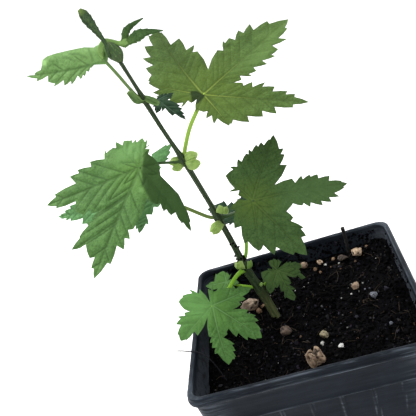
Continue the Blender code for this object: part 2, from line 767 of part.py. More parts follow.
def build_stipule(stipule):
    """A stipule: a cupped scale with a notched tip, thicker along its middle."""
    axis = Vector(stipule.axis).normalized()
    outward = Vector(stipule.outward)
    outward = (outward - axis * outward.dot(axis)).normalized()
    across = axis.cross(outward)
    rows, columns = STIPULE_ROWS, STIPULE_COLUMNS
    inner = []
    for row in range(rows + 1):
        t = row / rows
        half = stipule.width / 2 * (0.35 + 0.65 * math.sin(math.pi * (0.12 + 0.62 * t)))
        for column in range(columns + 1):
            u = 2 * column / columns - 1
            notch = STIPULE_NOTCH * stipule.length * (1 - abs(u)) * t**3
            reach = stipule.length * t * (1 - 0.18 * u * u) - notch
            bulge = math.sin(math.pi * t * 0.8) - 0.8 * u * u * (0.4 + 0.6 * t)
            swell = outward * stipule.cup * stipule.width * bulge
            inner.append(Vector(stipule.foot) + axis * reach + across * half * u + swell)
    outer = [place + outward * STIPULE_THICKNESS for place in inner]
    count = len(inner)
    points = [above_base(*place) for place in inner + outer]
    faces = []
    for row in range(rows):
        for column in range(columns):
            k = row * (columns + 1) + column
            quad = (k, k + 1, k + columns + 2, k + columns + 1)
            faces.append(quad)
            faces.append(tuple(count + i for i in reversed(quad)))
    edge = list(range(columns))
    edge += [row * (columns + 1) + columns for row in range(rows)]
    edge += [rows * (columns + 1) + column for column in range(columns, 0, -1)]
    edge += [row * (columns + 1) for row in range(rows, 0, -1)]
    for i, k in enumerate(edge):
        after = edge[(i + 1) % len(edge)]
        faces.append((after, k, count + k, count + after))
    surface = material(stipule.name, STIPULE_COLOUR, 0.5)
    return add_object(stipule.name, mesh_from(stipule.name, points, faces), surface)


def build_spindle(spindle):
    """A bud or a young leaf still folded along its middle."""
    places = smooth_path(spindle.path, SPINDLE_STEPS)
    widths = [p.x for p in smooth_path([(w, 0, 0) for w in spindle.half_widths], SPINDLE_STEPS)]
    path = [above_base(*place) for place in places]
    rings = sweep(path, widths, SPINDLE_SIDES, spindle.flatness, spindle.side)
    surface = material(spindle.name, spindle.colour, 0.55)
    return add_object(spindle.name, loft(spindle.name, rings), surface)


def ground_under(ground, x, y, reach):
    """The soil's highest point, in millimetres above the base, within reach of a place."""
    tops = []
    for i in range(CHIP_PROBES):
        for j in range(CHIP_PROBES):
            probe_x = x + reach * (2 * i / (CHIP_PROBES - 1) - 1)
            probe_y = y + reach * (2 * j / (CHIP_PROBES - 1) - 1)
            start = Vector((probe_x, probe_y, 2 * POT_HEIGHT)) * MM
            place = ground.ray_cast(start, Vector((0, 0, -1)))[0]
            if place is not None:
                tops.append(place.z / MM)
    return max(tops)


def build_chip(chip, ground):
    """A loose chip, lumpy, resting just above the soil under it."""
    shape = bmesh.new()
    bmesh.ops.create_icosphere(shape, subdivisions=2, radius=1.0)
    turn = Matrix.Rotation(math.radians(chip.turn), 3, "Z")
    seed = Vector((chip.x, chip.y, 0.0))
    half = Vector(chip.size) / 2
    for vert in shape.verts:
        lump = 1 + CHIP_LUMPS * noise.noise(vert.co * 1.7 + seed)
        vert.co = turn @ Vector(c * h * lump for c, h in zip(vert.co, half))
    rest = ground_under(ground, chip.x, chip.y, max(half.x, half.y)) + GAP
    lowest = min(vert.co.z for vert in shape.verts)
    for vert in shape.verts:
        vert.co = (vert.co + Vector((chip.x, chip.y, rest - lowest))) * MM
    mesh = bpy.data.meshes.new(chip.name)
    shape.to_mesh(mesh)
    shape.free()
    return add_object(chip.name, mesh, material(chip.name, chip.colour, 0.85), False)


def build_twig(surface):
    """The dark stub of a twig that leans on the inside of the rim."""
    foot, top = Vector(TWIG_FOOT), Vector(TWIG_TOP)
    places = [foot.lerp(top, t) for t in (0.0, 0.35, 0.7, 1.0)]
    widths = [TWIG_RADIUS * w for w in (0.8, 1.0, 0.8, 1.0)]
    rings = sweep([above_base(*place) for place in places], widths, 6)
    return add_object("twig", loft("twig", rings), surface)


def clear_scene():
    """Remove every object of the open scene."""
    for item in list(bpy.data.objects):
        bpy.data.objects.remove(item, do_unlink=True)


def main():
    """Build the potted bine."""
    clear_scene()
    build_pot(material("pot_plastic", (0.022, 0.026, 0.032), 0.42))
    soil = build_soil(material("soil", (0.012, 0.010, 0.009), 0.9))
    build_stem(material("stem", (0.05, 0.12, 0.04), 0.5))
    for leaf in LEAVES:
        build_leaf(leaf)
    for stipule in STIPULES:
        build_stipule(stipule)
    for spindle in SPINDLES:
        build_spindle(spindle)
    ground = BVHTree.FromObject(soil, bpy.context.evaluated_depsgraph_get())
    for chip in CHIPS:
        build_chip(chip, ground)
    build_twig(material("twig", (0.02, 0.015, 0.012), 0.9))


main()
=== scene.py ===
"""A young hop bine growing in a square nursery pot: the finished shapes and looks.

Sizes are millimetres unless a name says otherwise. Places are given from the middle of the
pot's rim: X along the near edge, Y away from it, Z above the rim. place() turns them into
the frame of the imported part, in metres.
"""

from __future__ import annotations

import logging
import math
from dataclasses import dataclass, field
from enum import Enum

import bmesh
import bpy
import numpy as np
from mathutils import Matrix, Vector, noise
from mathutils.geometry import delaunay_2d_cdt


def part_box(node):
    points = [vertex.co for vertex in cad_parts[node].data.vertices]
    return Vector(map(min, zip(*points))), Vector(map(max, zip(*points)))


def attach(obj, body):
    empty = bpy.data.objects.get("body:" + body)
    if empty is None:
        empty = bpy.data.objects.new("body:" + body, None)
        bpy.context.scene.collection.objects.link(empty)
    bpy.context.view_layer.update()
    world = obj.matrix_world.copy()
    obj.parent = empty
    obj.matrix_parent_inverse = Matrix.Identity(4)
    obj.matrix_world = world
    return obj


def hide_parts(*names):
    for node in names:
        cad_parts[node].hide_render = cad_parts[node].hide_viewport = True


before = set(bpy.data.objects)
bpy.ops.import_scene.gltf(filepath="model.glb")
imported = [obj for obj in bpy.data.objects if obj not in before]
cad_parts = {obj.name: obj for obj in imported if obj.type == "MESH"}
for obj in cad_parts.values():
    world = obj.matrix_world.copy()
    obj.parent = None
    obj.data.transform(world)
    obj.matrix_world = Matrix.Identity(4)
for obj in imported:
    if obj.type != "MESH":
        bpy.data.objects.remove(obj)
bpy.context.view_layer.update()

LOG = logging.getLogger("hop_bine")

MM = 0.001
POT_HEIGHT = 95.0
ROOT = "root"

Colour = tuple[float, float, float]
Place = tuple[float, float, float]
Socket = bpy.types.NodeSocket
# A place on the photograph in pixels. A third number is the depth of the cleft before it,
# beside the usual depth.
Pick = tuple[float, ...]


class Slot(Enum):
    """The record's material slots."""

    POT = "pot_plastic"
    SOIL = "soil"
    STEM = "stem"
    LEAF = "leaf"
    STIPULE = "stipule"
    BUD = "bud"
    YOUNG_LEAF = "young_leaf"
    BARK = "bark"
    PEBBLE = "pebble"
    PERLITE = "perlite"
    TWIG = "twig"


class Feature(Enum):
    """What a cell pattern measures."""

    NEAREST = "F1"
    BORDER = "DISTANCE_TO_EDGE"


# --- shared shapes


def place(points: np.ndarray) -> np.ndarray:
    """Move points from the rim's frame in millimetres to the part's frame in metres."""
    return (np.asarray(points, float) + (0.0, 0.0, POT_HEIGHT)) * MM


def unit(vector: np.ndarray) -> np.ndarray:
    """Return a vector at length one."""
    return np.asarray(vector, float) / np.linalg.norm(vector)


def direction(angle: float) -> np.ndarray:
    """Return the plane direction at an angle in degrees from the X axis."""
    return np.array((math.cos(math.radians(angle)), math.sin(math.radians(angle))))


def smooth_path(points: np.ndarray, steps: int) -> np.ndarray:
    """Run a Catmull-Rom curve through points of any dimension.

    Args:
        points: The points the curve passes through.
        steps: How many parts each span is cut into.

    Returns:
        The points along the curve, ends included.
    """
    points = np.asarray(points, float)
    padded = np.vstack([points[:1], points, points[-1:]])
    made = []
    for i in range(len(points) - 1):
        before, start, end, after = padded[i:i + 4]
        for t in np.arange(steps) / steps:
            made.append(
                0.5 * (2 * start + (end - before) * t
                       + (2 * before - 5 * start + 4 * end - after) * t**2
                       + (3 * start - before - 3 * end + after) * t**3)
            )
    made.append(points[-1])
    return np.array(made)


def field_noise(points: np.ndarray, size: float, seed: float = 0.0, octaves: int = 1) -> np.ndarray:
    """Sample smooth noise at many points.

    Args:
        points: An array of shape (n, 2) or (n, 3).
        size: The noise's wavelength, in the points' unit.
        seed: Shifts the pattern.
        octaves: How many finer layers are added, each at half the strength.

    Returns:
        One value per point, about -1 to 1.
    """
    points = np.asarray(points, float)
    if points.shape[1] == 2:
        points = np.column_stack([points, np.zeros(len(points))])
    total = np.zeros(len(points))
    for octave in range(octaves):
        scale = 2**octave / size
        layer = [noise.noise(Vector(p) * scale + Vector((seed, octave, 0))) for p in points]
        total += np.array(layer) / 2**octave
    return total


@dataclass
class Draft:
    """A mesh in the making: points in millimetres, faces, and numbers kept at each point."""

    name: str
    points: list[np.ndarray] = field(default_factory=list)
    faces: list[tuple[int, ...]] = field(default_factory=list)
    layers: dict[str, list[np.ndarray]] = field(default_factory=dict)
    count: int = 0

    def add(self, points: np.ndarray, faces: list, **layers: np.ndarray | float) -> None:
        """Add one closed body.

        Args:
            points: Its points, shape (n, 3).
            faces: Its faces, counted from its own first point.
            **layers: A number, or a row of numbers, kept for each point.
        """
        points = np.asarray(points, float)
        self.points.append(points)
        base = self.count
        self.faces += [tuple(int(k) + base for k in face) for face in faces]
        for name, values in layers.items():
            values = np.asarray(values, float)
            if values.ndim == 0 or (values.ndim == 1 and len(values) != len(points)):
                values = np.broadcast_to(values, (len(points), *values.shape)).copy()
            self.layers.setdefault(name, []).append(values)
        self.count += len(points)

    def finish(self, surface: bpy.types.Material, crease: float = 40.0) -> bpy.types.Object:
        """Make the object, with its faces out and its creases marked.

        Args:
            surface: The material of the whole piece.
            crease: The angle in degrees from which an edge is drawn sharp.

        Returns:
            The linked object.
        """
        mesh = bpy.data.meshes.new(self.name)
        mesh.from_pydata(place(np.vstack(self.points)).tolist(), [], self.faces)
        for name, parts in self.layers.items():
            values = np.concatenate(parts)
            flat = values.ndim == 1
            layer = mesh.attributes.new(name, "FLOAT" if flat else "FLOAT_VECTOR", "POINT")
            layer.data.foreach_set("value" if flat else "vector", values.ravel())
        shape = bmesh.new()
        shape.from_mesh(mesh)
        bmesh.ops.recalc_face_normals(shape, faces=shape.faces)
        shape.to_mesh(mesh)
        shape.free()
        mesh.shade_smooth()
        mesh.set_sharp_from_angle(angle=math.radians(crease))
        mesh.materials.append(surface)
        made = bpy.data.objects.new(self.name, mesh)
        bpy.context.scene.collection.objects.link(made)
        return made


def seat(piece: bpy.types.Object, slot: Slot, *nodes: str) -> None:
    """Fix a piece to the part and say what it stands for.

    Args:
        piece: The finished object.
        slot: The record's slot that its finish belongs to.
        *nodes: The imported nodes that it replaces, if any.
    """
    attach(piece, ROOT)
    if nodes:
        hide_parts(*nodes)
    LOG.info("%s: %d faces, slot %s", piece.name, len(piece.data.polygons), slot.value)


def grid_faces(n: int) -> list[tuple[int, ...]]:
    """List the faces of a square grid of n by n cells."""
    starts = [j * (n + 1) + i for j in range(n) for i in range(n)]
    return [(k, k + 1, k + n + 2, k + n + 1) for k in starts]


def tube_faces(rings: int, sides: int) -> list[tuple[int, ...]]:
    """List the faces of a tube, capped at both ends.

    Args:
        rings: How many rings of points it has.
        sides: How many points a ring has.

    Returns:
        The faces.
    """
    faces = []
    for ring in range(rings - 1):
        for side in range(sides):
            low = ring * sides + side
            near = ring * sides + (side + 1) % sides
            faces.append((low, near, near + sides, low + sides))
    faces.append(tuple(reversed(range(sides))))
    faces.append(tuple(range((rings - 1) * sides, rings * sides)))
    return faces


def tube_frames(path: np.ndarray, side: Place) -> tuple[np.ndarray, np.ndarray]:
    """Find the two directions square to a path at each of its points.

    Args:
        path: Points along the path, shape (n, 3).
        side: A direction that the first of the two keeps close to.

    Returns:
        The wide directions and the thin directions, each of shape (n, 3).
    """
    along = np.gradient(path, axis=0)
    along /= np.linalg.norm(along, axis=1, keepdims=True)
    wide = np.asarray(side, float) - along * (along @ np.asarray(side, float))[:, None]
    wide /= np.linalg.norm(wide, axis=1, keepdims=True)
    return wide, np.cross(along, wide)


def tube_points(path: np.ndarray, reach: np.ndarray, side: Place, flat: float = 1.0) -> np.ndarray:
    """Lay rings of points round a path.

    Args:
        path: Points along the path, shape (n, 3).
        reach: The radius at each ring and each side, shape (n, sides).
        side: A direction that the first point of each ring keeps close to.
        flat: How thick each ring is beside how wide it is.

    Returns:
        The ring points, shape (n * sides, 3).
    """
    wide, thin = tube_frames(path, side)
    sides = reach.shape[1]
    angles = 2 * np.pi * np.arange(sides) / sides
    ring = wide[:, None] * np.cos(angles)[:, None] + thin[:, None] * np.sin(angles)[:, None] * flat
    return (path[:, None] + ring * reach[..., None]).reshape(-1, 3)


def tube_spots(path: np.ndarray, sides: int) -> np.ndarray:
    """Find where a tube's points lie for its pattern.

    Args:
        path: Points along its middle, shape (n, 3).
        sides: How many points a ring has.

    Returns:
        The cosine and sine of the turn round it and the way along it, shape (n * sides, 3).
    """
    angle = 2 * np.pi * np.arange(sides) / sides
    lengths = np.concatenate([[0], np.cumsum(np.linalg.norm(np.diff(path, axis=0), axis=1))])
    return np.column_stack([np.tile(np.cos(angle), len(path)), np.tile(np.sin(angle), len(path)),
                            np.repeat(lengths, sides)])


def shell(sheet: np.ndarray, thickness: float) -> tuple[np.ndarray, list[tuple[int, ...]]]:
    """Thicken a grid of points into a closed thin body.

    Args:
        sheet: The grid, shape (rows, columns, 3).
        thickness: How thick the body is.

    Returns:
        Its points, the grid first and its underside after it, and its faces.
    """
    rows, columns = sheet.shape[:2]
    down, across = np.gradient(sheet, axis=(0, 1))
    normal = np.cross(across, down)
    normal /= np.linalg.norm(normal, axis=2, keepdims=True) + 1e-9
    points = np.concatenate([(sheet + normal * thickness / 2).reshape(-1, 3),
                             (sheet - normal * thickness / 2).reshape(-1, 3)])
    count = rows * columns
    faces: list[tuple[int, ...]] = []
    for row in range(rows - 1):
        for column in range(columns - 1):
            k = row * columns + column
            quad = (k, k + 1, k + columns + 1, k + columns)
            faces.append(quad)
            faces.append(tuple(count + i for i in reversed(quad)))
    edge = list(range(columns - 1)) + [r * columns + columns - 1 for r in range(rows - 1)]
    edge += [(rows - 1) * columns + c for c in range(columns - 1, 0, -1)]
    edge += [r * columns for r in range(rows - 1, 0, -1)]
    for k, after in zip(edge, edge[1:] + edge[:1]):
        faces.append((after, k, count + k, count + after))
    return points, faces


def lump(size: np.ndarray, rough: float, seed: float, level: int) -> tuple[np.ndarray, list]:
    """Make an irregular rounded lump about the origin.

    Args:
        size: Its three full sizes.
        rough: How uneven it is, as a share of its size.
        seed: Picks the unevenness.
        level: How finely the ball it starts from is divided.

    Returns:
        Its points and its faces.
    """
    shape = bmesh.new()
    bmesh.ops.create_icosphere(shape, subdivisions=level, radius=1.0)
    points = np.array([vert.co[:] for vert in shape.verts])
    faces = [tuple(vert.index for vert in face.verts) for face in shape.faces]
    shape.free()
    swell = 1 + rough * field_noise(points, 0.75, seed, 2)
    return points * swell[:, None] * np.asarray(size) / 2, faces


def spin(points: np.ndarray, turns: np.ndarray) -> np.ndarray:
    """Turn points about X, then Y, then Z.

    Args:
        points: Shape (n, 3).
        turns: The three angles in radians.

    Returns:
        The turned points.
    """
    whole = Matrix.Rotation(turns[2], 3, "Z") @ Matrix.Rotation(turns[1], 3, "Y")
    whole = whole @ Matrix.Rotation(turns[0], 3, "X")
    return points @ np.array(whole).T


# --- finishes


class Shade:
    """A material's node tree, with short calls for the nodes that the finishes use."""

    def __init__(self, name: str) -> None:
        """Start a material that holds one surface shader.

        Args:
            name: The material's name.
        """
        self.material = bpy.data.materials.new(name)
        self.material.use_nodes = True
        self.tree = self.material.node_tree
        self.surface = self.tree.nodes["Principled BSDF"]

    def feed(self, socket: Socket, value: object) -> None:
        """Link a socket to another, or set it to a plain value.

        Args:
            socket: The socket that is fed.
            value: Another socket, a number, or three numbers.
        """
        if isinstance(value, Socket):
            self.tree.links.new(value, socket)
        elif socket.type == "RGBA":
            socket.default_value = (*value, 1.0)
        else:
            socket.default_value = value

    def node(self, kind: str, out: int | str, given: dict, **settings: str) -> Socket:
        """Add a node.

        Args:
            kind: Its type.
            out: Which of its outputs is wanted.
            given: What its inputs are fed.
            **settings: Its own properties.

        Returns:
            The wanted output.
        """
        made = self.tree.nodes.new(kind)
        for name, value in settings.items():
            setattr(made, name, value)
        for name, value in given.items():
            self.feed(made.inputs[name], value)
        return made.outputs[out]

    def layer(self, name: str, vector: bool = False) -> Socket:
        """Read the numbers, or the rows of three, that are kept at the mesh's points."""
        return self.node("ShaderNodeAttribute", "Vector" if vector else "Fac", {}, attribute_name=name)

    def here(self) -> Socket:
        """Return the place on the piece, in metres."""
        return self.node("ShaderNodeTexCoord", "Object", {})

    def stretch(self, vector: Socket, scale: Place) -> Socket:
        """Scale a vector's three directions."""
        return self.node("ShaderNodeMapping", "Vector", {"Vector": vector, "Scale": scale})

    def clouds(self, at: Socket, scale: float, detail: float = 3.0, rough: float = 0.55) -> Socket:
        """Return cloudy noise by its blotches a unit, its finer layers and their strength."""
        given = {"Vector": at, "Scale": scale, "Detail": detail, "Roughness": rough}
        return self.node("ShaderNodeTexNoise", "Fac", given)

    def cells(self, at: Socket, scale: float, feature: Feature) -> Socket:
        """Return what a pattern of cells measures, by its cells a unit."""
        given = {"Vector": at, "Scale": scale}
        return self.node("ShaderNodeTexVoronoi", "Distance", given, feature=feature.value)

    def span(self, value: Socket, low: float, high: float, start: float = 0.0, end: float = 1.0) -> Socket:
        """Map low..high to start..end, held at both ends."""
        given = {"Value": value, "From Min": low, "From Max": high, "To Min": start, "To Max": end}
        return self.node("ShaderNodeMapRange", "Result", given)

    def sum(self, first: object, second: object, operation: str = "ADD") -> Socket:
        """Join two numbers by an operation of the maths node."""
        return self.node("ShaderNodeMath", 0, {0: first, 1: second}, operation=operation)

    def mix(self, share: object, first: object, second: object) -> Socket:
        """Blend two colours: share 0 gives the first and 1 the second."""
        return self.node("ShaderNodeMix", 2, {0: share, 6: first, 7: second}, data_type="RGBA")

    def bump(self, height: Socket, depth_mm: float, strength: float = 1.0) -> None:
        """Raise the surface by a height from 0 to 1, by a depth and how much of it shows."""
        given = {"Height": height, "Distance": depth_mm * MM, "Strength": strength}
        self.feed(self.surface.inputs["Normal"], self.node("ShaderNodeBump", "Normal", given))

    def coat(self, colour: Socket, roughness: object, specular: float) -> None:
        """Set how the surface looks.

        Args:
            colour: Its colour.
            roughness: How rough it is, as a number or a socket.
            specular: How much it reflects head on.
        """
        given = {"Base Color": colour, "Roughness": roughness, "Specular IOR Level": specular}
        for name, value in given.items():
            self.feed(self.surface.inputs[name], value)

    def glow_through(self, colour: Socket, share: float) -> None:
        """Let light from behind through a thin sheet.

        Args:
            colour: The colour that it takes.
            share: How much of the light comes through.
        """
        through = self.node("ShaderNodeBsdfTranslucent", 0, {"Color": colour})
        blend = self.node("ShaderNodeMixShader", 0, {0: share, 1: self.surface.outputs[0], 2: through})
        self.feed(self.tree.nodes["Material Output"].inputs["Surface"], blend)


@dataclass(frozen=True)
class Finish:
    """What a piece is finished with. Each kind has its colours, and paints in its own way."""

    def material(self, name: str) -> bpy.types.Material:
        """Build this finish's material.

        Args:
            name: The material's name.

        Returns:
            The painted material.
        """
        made = Shade(name)
        self.paint(made)
        return made.material

    def paint(self, made: Shade) -> None:
        """Paint a new material; this one stays plain."""


@dataclass(frozen=True)
class BladeFinish(Finish):
    """A hop leaf's blade: soft mottled green with painted sheen, a net of fine veins, pale main veins,
    painted shade along the veins, and painted light and shade.
    """

    blade: Colour
    shade: Colour
    heart: Colour
    vein: Colour
    heart_reach: float = 14.0
    vein_share: float = 0.5
    heart_share: float = 0.7
    vein_reach: float = 26.0
    # how strong the painted shade along the side veins is
    side_vein_shade: float = 0.6
    through: float = 0.22
    roughness: float = 0.55
    net_per_mm: float = 0.85

    def paint(self, made: Shade) -> None:
        """Paint a blade by its layers flat, trunk, branch, hub, rim, tone (painted light and shade) and
        under.

        Args:
            made: The new material.
        """
        flat = made.layer("flat", vector=True)
        blotch = made.clouds(flat, 0.16, 4.0)
        mottle = made.clouds(flat, 1.1, 4.0, 0.75)
        colour = made.mix(made.span(blotch, 0.35, 0.68), self.blade, self.shade)
        # bloom: a paler green, laid in patches as painted sheen and used as painted light for the paler
        # tones
        bloom = tuple(1.4 * c + 0.01 for c in self.blade)
        patch = made.clouds(made.stretch(flat, (1.0, 1.3, 1.0)), 0.33, 3.0)
        colour = made.mix(made.span(patch, 0.5, 0.72, 0.0, 0.55), colour, bloom)
        dark = tuple(0.52 * c for c in self.shade)
        colour = made.mix(made.span(mottle, 0.44, 0.72, 0.0, 0.9), colour, dark)
        hub = made.layer("hub")
        near = made.span(hub, 0.0, self.heart_reach, self.heart_share, 0.0)
        near = made.sum(near, made.span(blotch, 0.2, 0.8, 0.55, 1.25), "MULTIPLY")
        colour = made.mix(near, colour, self.heart)
        net = made.cells(flat, self.net_per_mm, Feature.BORDER)
        colour = made.mix(made.span(net, 0.0, 0.14, 0.22, 0.0), colour, self.heart)
        # Painted shade in the grooves along the side veins and beside the main veins.
        branch = made.span(made.layer("branch"), 0.6, 3.0, self.side_vein_shade, 0.0)
        colour = made.mix(branch, colour, dark)
        trunk = made.layer("trunk")
        colour = made.mix(made.span(trunk, 1.2, 3.2, 0.45, 0.0), colour, dark)
        fade = made.span(hub, 0.0, self.vein_reach, self.vein_share, 0.1)
        crest = made.sum(made.span(trunk, 0.5, 1.5, 1.0, 0.0), fade, "MULTIPLY")
        colour = made.mix(crest, colour, self.vein)
        colour = made.mix(made.span(made.layer("rim"), 0.0, 0.7, 0.35, 0.0), colour, self.shade)
        # Painted shade where the tone layer is above 0, painted light where it is below 0.
        tone = made.layer("tone")
        colour = made.mix(made.span(tone, 0.0, 1.0), colour, tuple(0.42 * c for c in self.shade))
        colour = made.mix(made.span(tone, 0.0, -1.0), colour, bloom)
        pale = tuple(0.6 * c + 0.12 for c in self.blade)
        colour = made.mix(made.sum(made.layer("under"), 0.55, "MULTIPLY"), colour, pale)
        made.coat(colour, made.span(blotch, 0.3, 0.7, self.roughness - 0.06, self.roughness + 0.1), 0.05)
        made.bump(made.sum(made.span(net, 0.0, 0.3), made.clouds(flat, 3.5, 2.0)), 0.12, 0.6)
        made.glow_through(made.mix(0.5, colour, self.heart), self.through)


@dataclass(frozen=True)
class StalkFinish(Finish):
    """A stalk or a stem: two greens along its length, fine length-wise streaks."""

    foot: Colour
    top: Colour
    ridge: Colour
    roughness: float = 0.42
    through: float = 0.0

    def paint(self, made: Shade) -> None:
        """Paint a stalk by its layers flat, along and ridge.

        Args:
            made: The new material.
        """
        flat = made.layer("flat", vector=True)
        streak = made.clouds(made.stretch(flat, (1.0, 3.0, 0.12)), 1.6, 4.0)
        colour = made.mix(made.layer("along"), self.foot, self.top)
        colour = made.mix(made.span(made.layer("ridge"), 0.1, 0.9, 0.0, 0.7), colour, self.ridge)
        dark = tuple(c * 0.55 for c in self.top)
        colour = made.mix(made.span(streak, 0.42, 0.75, 0.0, 0.6), colour, dark)
        fleck = made.clouds(flat, 2.6, 2.0)
        colour = made.mix(made.span(fleck, 0.66, 0.74, 0.0, 0.5), colour, self.ridge)
        made.coat(colour, made.span(streak, 0.3, 0.7, self.roughness - 0.08, self.roughness + 0.12), 0.1)
        made.bump(made.sum(streak, fleck), 0.08, 0.5)
        if self.through:
            made.glow_through(colour, self.through)


@dataclass(frozen=True)
class ScaleFinish(Finish):
    """A stipule or bud scale: pale and papery, with veins along it and browner blotches."""

    body: Colour
    rim: Colour
    blotch: Colour
    through: float = 0.3

    def paint(self, made: Shade) -> None:
        """Paint a scale by its layers flat and edge.

        Args:
            made: The new material.
        """
        flat = made.layer("flat", vector=True)
        cloud = made.clouds(flat, 0.55, 3.0)
        colour = made.mix(made.span(cloud, 0.45, 0.7, 0.0, 0.75), self.body, self.blotch)
        ribs = made.clouds(made.stretch(flat, (0.25, 3.2, 1.0)), 1.0, 2.0)
        colour = made.mix(made.span(ribs, 0.5, 0.7, 0.0, 0.45), colour, self.rim)
        colour = made.mix(made.span(made.layer("edge"), 0.55, 1.0, 0.0, 0.8), colour, self.rim)
        made.coat(colour, made.span(cloud, 0.3, 0.7, 0.42, 0.58), 0.12)
        made.bump(made.sum(ribs, cloud), 0.12, 0.6)
        made.glow_through(colour, self.through)


@dataclass(frozen=True)
class PotFinish(Finish):
    """Black nursery-pot plastic: bluish bloom, scuffs and painted highlights on the rim, panel edges and
    corners, painted light on the inner walls, dried dirt in the corners.
    """

    plastic: Colour = (0.004, 0.006, 0.009)
    bloom: Colour = (0.012, 0.017, 0.025)
    # the colour of scuffs, of the painted highlights and reflections, and of the painted light inside
    scuff_and_painted_light: Colour = (0.12, 0.14, 0.17)
    dirt: Colour = (0.012, 0.01, 0.009)
    # how much of the scuff colour is laid on the inner walls as painted light
    inner_light_share: float = 0.6

    def paint(self, made: Shade) -> None:
        """Paint the plastic by its layers wear (scuffs and painted highlights) and inside (painted light and
        dirt inside).

        Args:
            made: The new material.
        """
        spot = made.here()
        wide = made.clouds(spot, 38.0, 5.0, 0.6)
        fine = made.clouds(spot, 420.0, 4.0, 0.65)
        drag = made.clouds(made.stretch(spot, (60.0, 60.0, 900.0)), 1.0, 4.0, 0.7)
        colour = made.mix(made.span(wide, 0.35, 0.72, 0.05, 0.8), self.plastic, self.bloom)
        # Scuffs and painted highlights, in the scuff colour, where the wear layer and the drag pattern
        # allow.
        wear = made.sum(made.layer("wear"), made.span(drag, 0.44, 0.62, 0.05, 1.0), "MULTIPLY")
        colour = made.mix(made.sum(wear, 0.75, "MULTIPLY"), colour, self.scuff_and_painted_light)
        # Painted light on the inner walls, in a share of the scuff colour; dried dirt over it.
        inside = made.layer("inside")
        inner_light = made.sum(inside, made.span(wide, 0.3, 0.7, 0.3, 0.7), "MULTIPLY")
        colour = made.mix(inner_light, colour, tuple(self.inner_light_share * c for c in self.scuff_and_painted_light))
        soiled = made.sum(inside, made.span(fine, 0.5, 0.62), "MULTIPLY")
        colour = made.mix(made.sum(soiled, 0.75, "MULTIPLY"), colour, self.dirt)
        made.coat(colour, made.span(made.sum(wide, fine), 0.7, 1.3, 0.34, 0.56), 0.06)
        made.bump(made.sum(fine, drag), 0.05, 0.45)


@dataclass(frozen=True)
class SoilFinish(Finish):
    """Damp potting compost: black-brown crumbs with a few browner fibres."""

    wet: Colour = (0.0008, 0.0008, 0.0012)
    crumb: Colour = (0.003, 0.0028, 0.0034)
    fibre: Colour = (0.014, 0.011, 0.009)

    def paint(self, made: Shade) -> None:
        """Paint the soil.

        Args:
            made: The new material.
        """
        spot = made.here()
        wide = made.clouds(spot, 190.0, 5.0, 0.6)
        fine = made.clouds(spot, 1500.0, 3.0, 0.6)
        colour = made.mix(made.span(wide, 0.38, 0.66), self.wet, self.crumb)
        colour = made.mix(made.span(fine, 0.62, 0.74, 0.0, 0.65), colour, self.fibre)
        made.coat(colour, made.span(fine, 0.35, 0.65, 0.95, 0.6), 0.02)
        made.bump(made.sum(made.cells(spot, 900.0, Feature.NEAREST), fine), 0.5, 0.8)


@dataclass(frozen=True)
class GrainFinish(Finish):
    """Loose grains, fibres and specks, each in the tint kept at its points."""

    roughness: float = 0.75
    grain_per_m: float = 1600.0

    def paint(self, made: Shade) -> None:
        """Paint the grains by their layer tint.

        Args:
            made: The new material.
        """
        fine = made.clouds(made.here(), self.grain_per_m, 3.0, 0.6)
        given = {0: made.layer("tint", vector=True), "Scale": made.span(fine, 0.3, 0.7, 0.55, 1.25)}
        colour = made.node("ShaderNodeVectorMath", 0, given, operation="SCALE")
        made.coat(colour, made.span(fine, 0.3, 0.7, self.roughness - 0.15, self.roughness + 0.15), 0.03)
        made.bump(fine, 0.15, 0.7)


@dataclass(frozen=True)
class ChipFinish(Finish):
    """A chip of bark or a small stone: mottled body, pale crests and dark pits."""

    body: Colour
    crest: Colour
    pit: Colour
    stripes: float = 0.0

    def paint(self, made: Shade) -> None:
        """Paint a chip by its layer pit.

        Args:
            made: The new material.
        """
        spot = made.here()
        wide = made.clouds(spot, 420.0, 4.0, 0.6)
        fine = made.clouds(spot, 1900.0, 3.0, 0.6)
        colour = made.mix(made.span(wide, 0.38, 0.64), self.body, self.crest)
        colour = made.mix(made.span(fine, 0.6, 0.72, 0.0, 0.6), colour, self.pit)
        colour = made.mix(made.span(made.layer("pit"), 0.15, 0.75, 0.0, 0.95), colour, self.pit)
        if self.stripes:
            bands = made.clouds(made.stretch(spot, (2600.0, 350.0, 500.0)), 1.0, 2.0)
            colour = made.mix(made.span(bands, 0.5, 0.6, 0.0, self.stripes), colour, self.crest)
        made.coat(colour, made.span(fine, 0.3, 0.7, 0.7, 0.95), 0.3)
        made.bump(made.sum(wide, fine), 0.35, 0.8)


@dataclass(frozen=True)
class FloorFinish(Finish):
    """A plain pale floor, very slightly uneven in tone."""

    pale: Colour = (0.9, 0.9, 0.9)
    paler: Colour = (0.94, 0.94, 0.94)

    def paint(self, made: Shade) -> None:
        """Paint the floor in a blend of its two tones."""
        made.coat(made.mix(made.clouds(made.here(), 2.0, 2.0), self.pale, self.paler), 0.85, 0.2)


# --- leaves


@dataclass(frozen=True)
class View:
    """Where the photograph was taken from, in the rim's frame, and its scale in pixels."""

    at: Place = (20.93, -220.66, 143.67)
    right: Place = (0.94308, 0.03702, -0.33051)
    down: Place = (-0.28495, -0.42248, -0.86041)
    forward: Place = (-0.17149, 0.90561, -0.38788)
    focal: float = 650.0
    middle: float = 208.0

    def sight(self, pick: Pick) -> np.ndarray:
        """Return the direction in which a place of the photograph is seen."""
        x, y = ((value - self.middle) / self.focal for value in pick[:2])
        return np.asarray(self.forward) + np.asarray(self.right) * x + np.asarray(self.down) * y


VIEW = View()


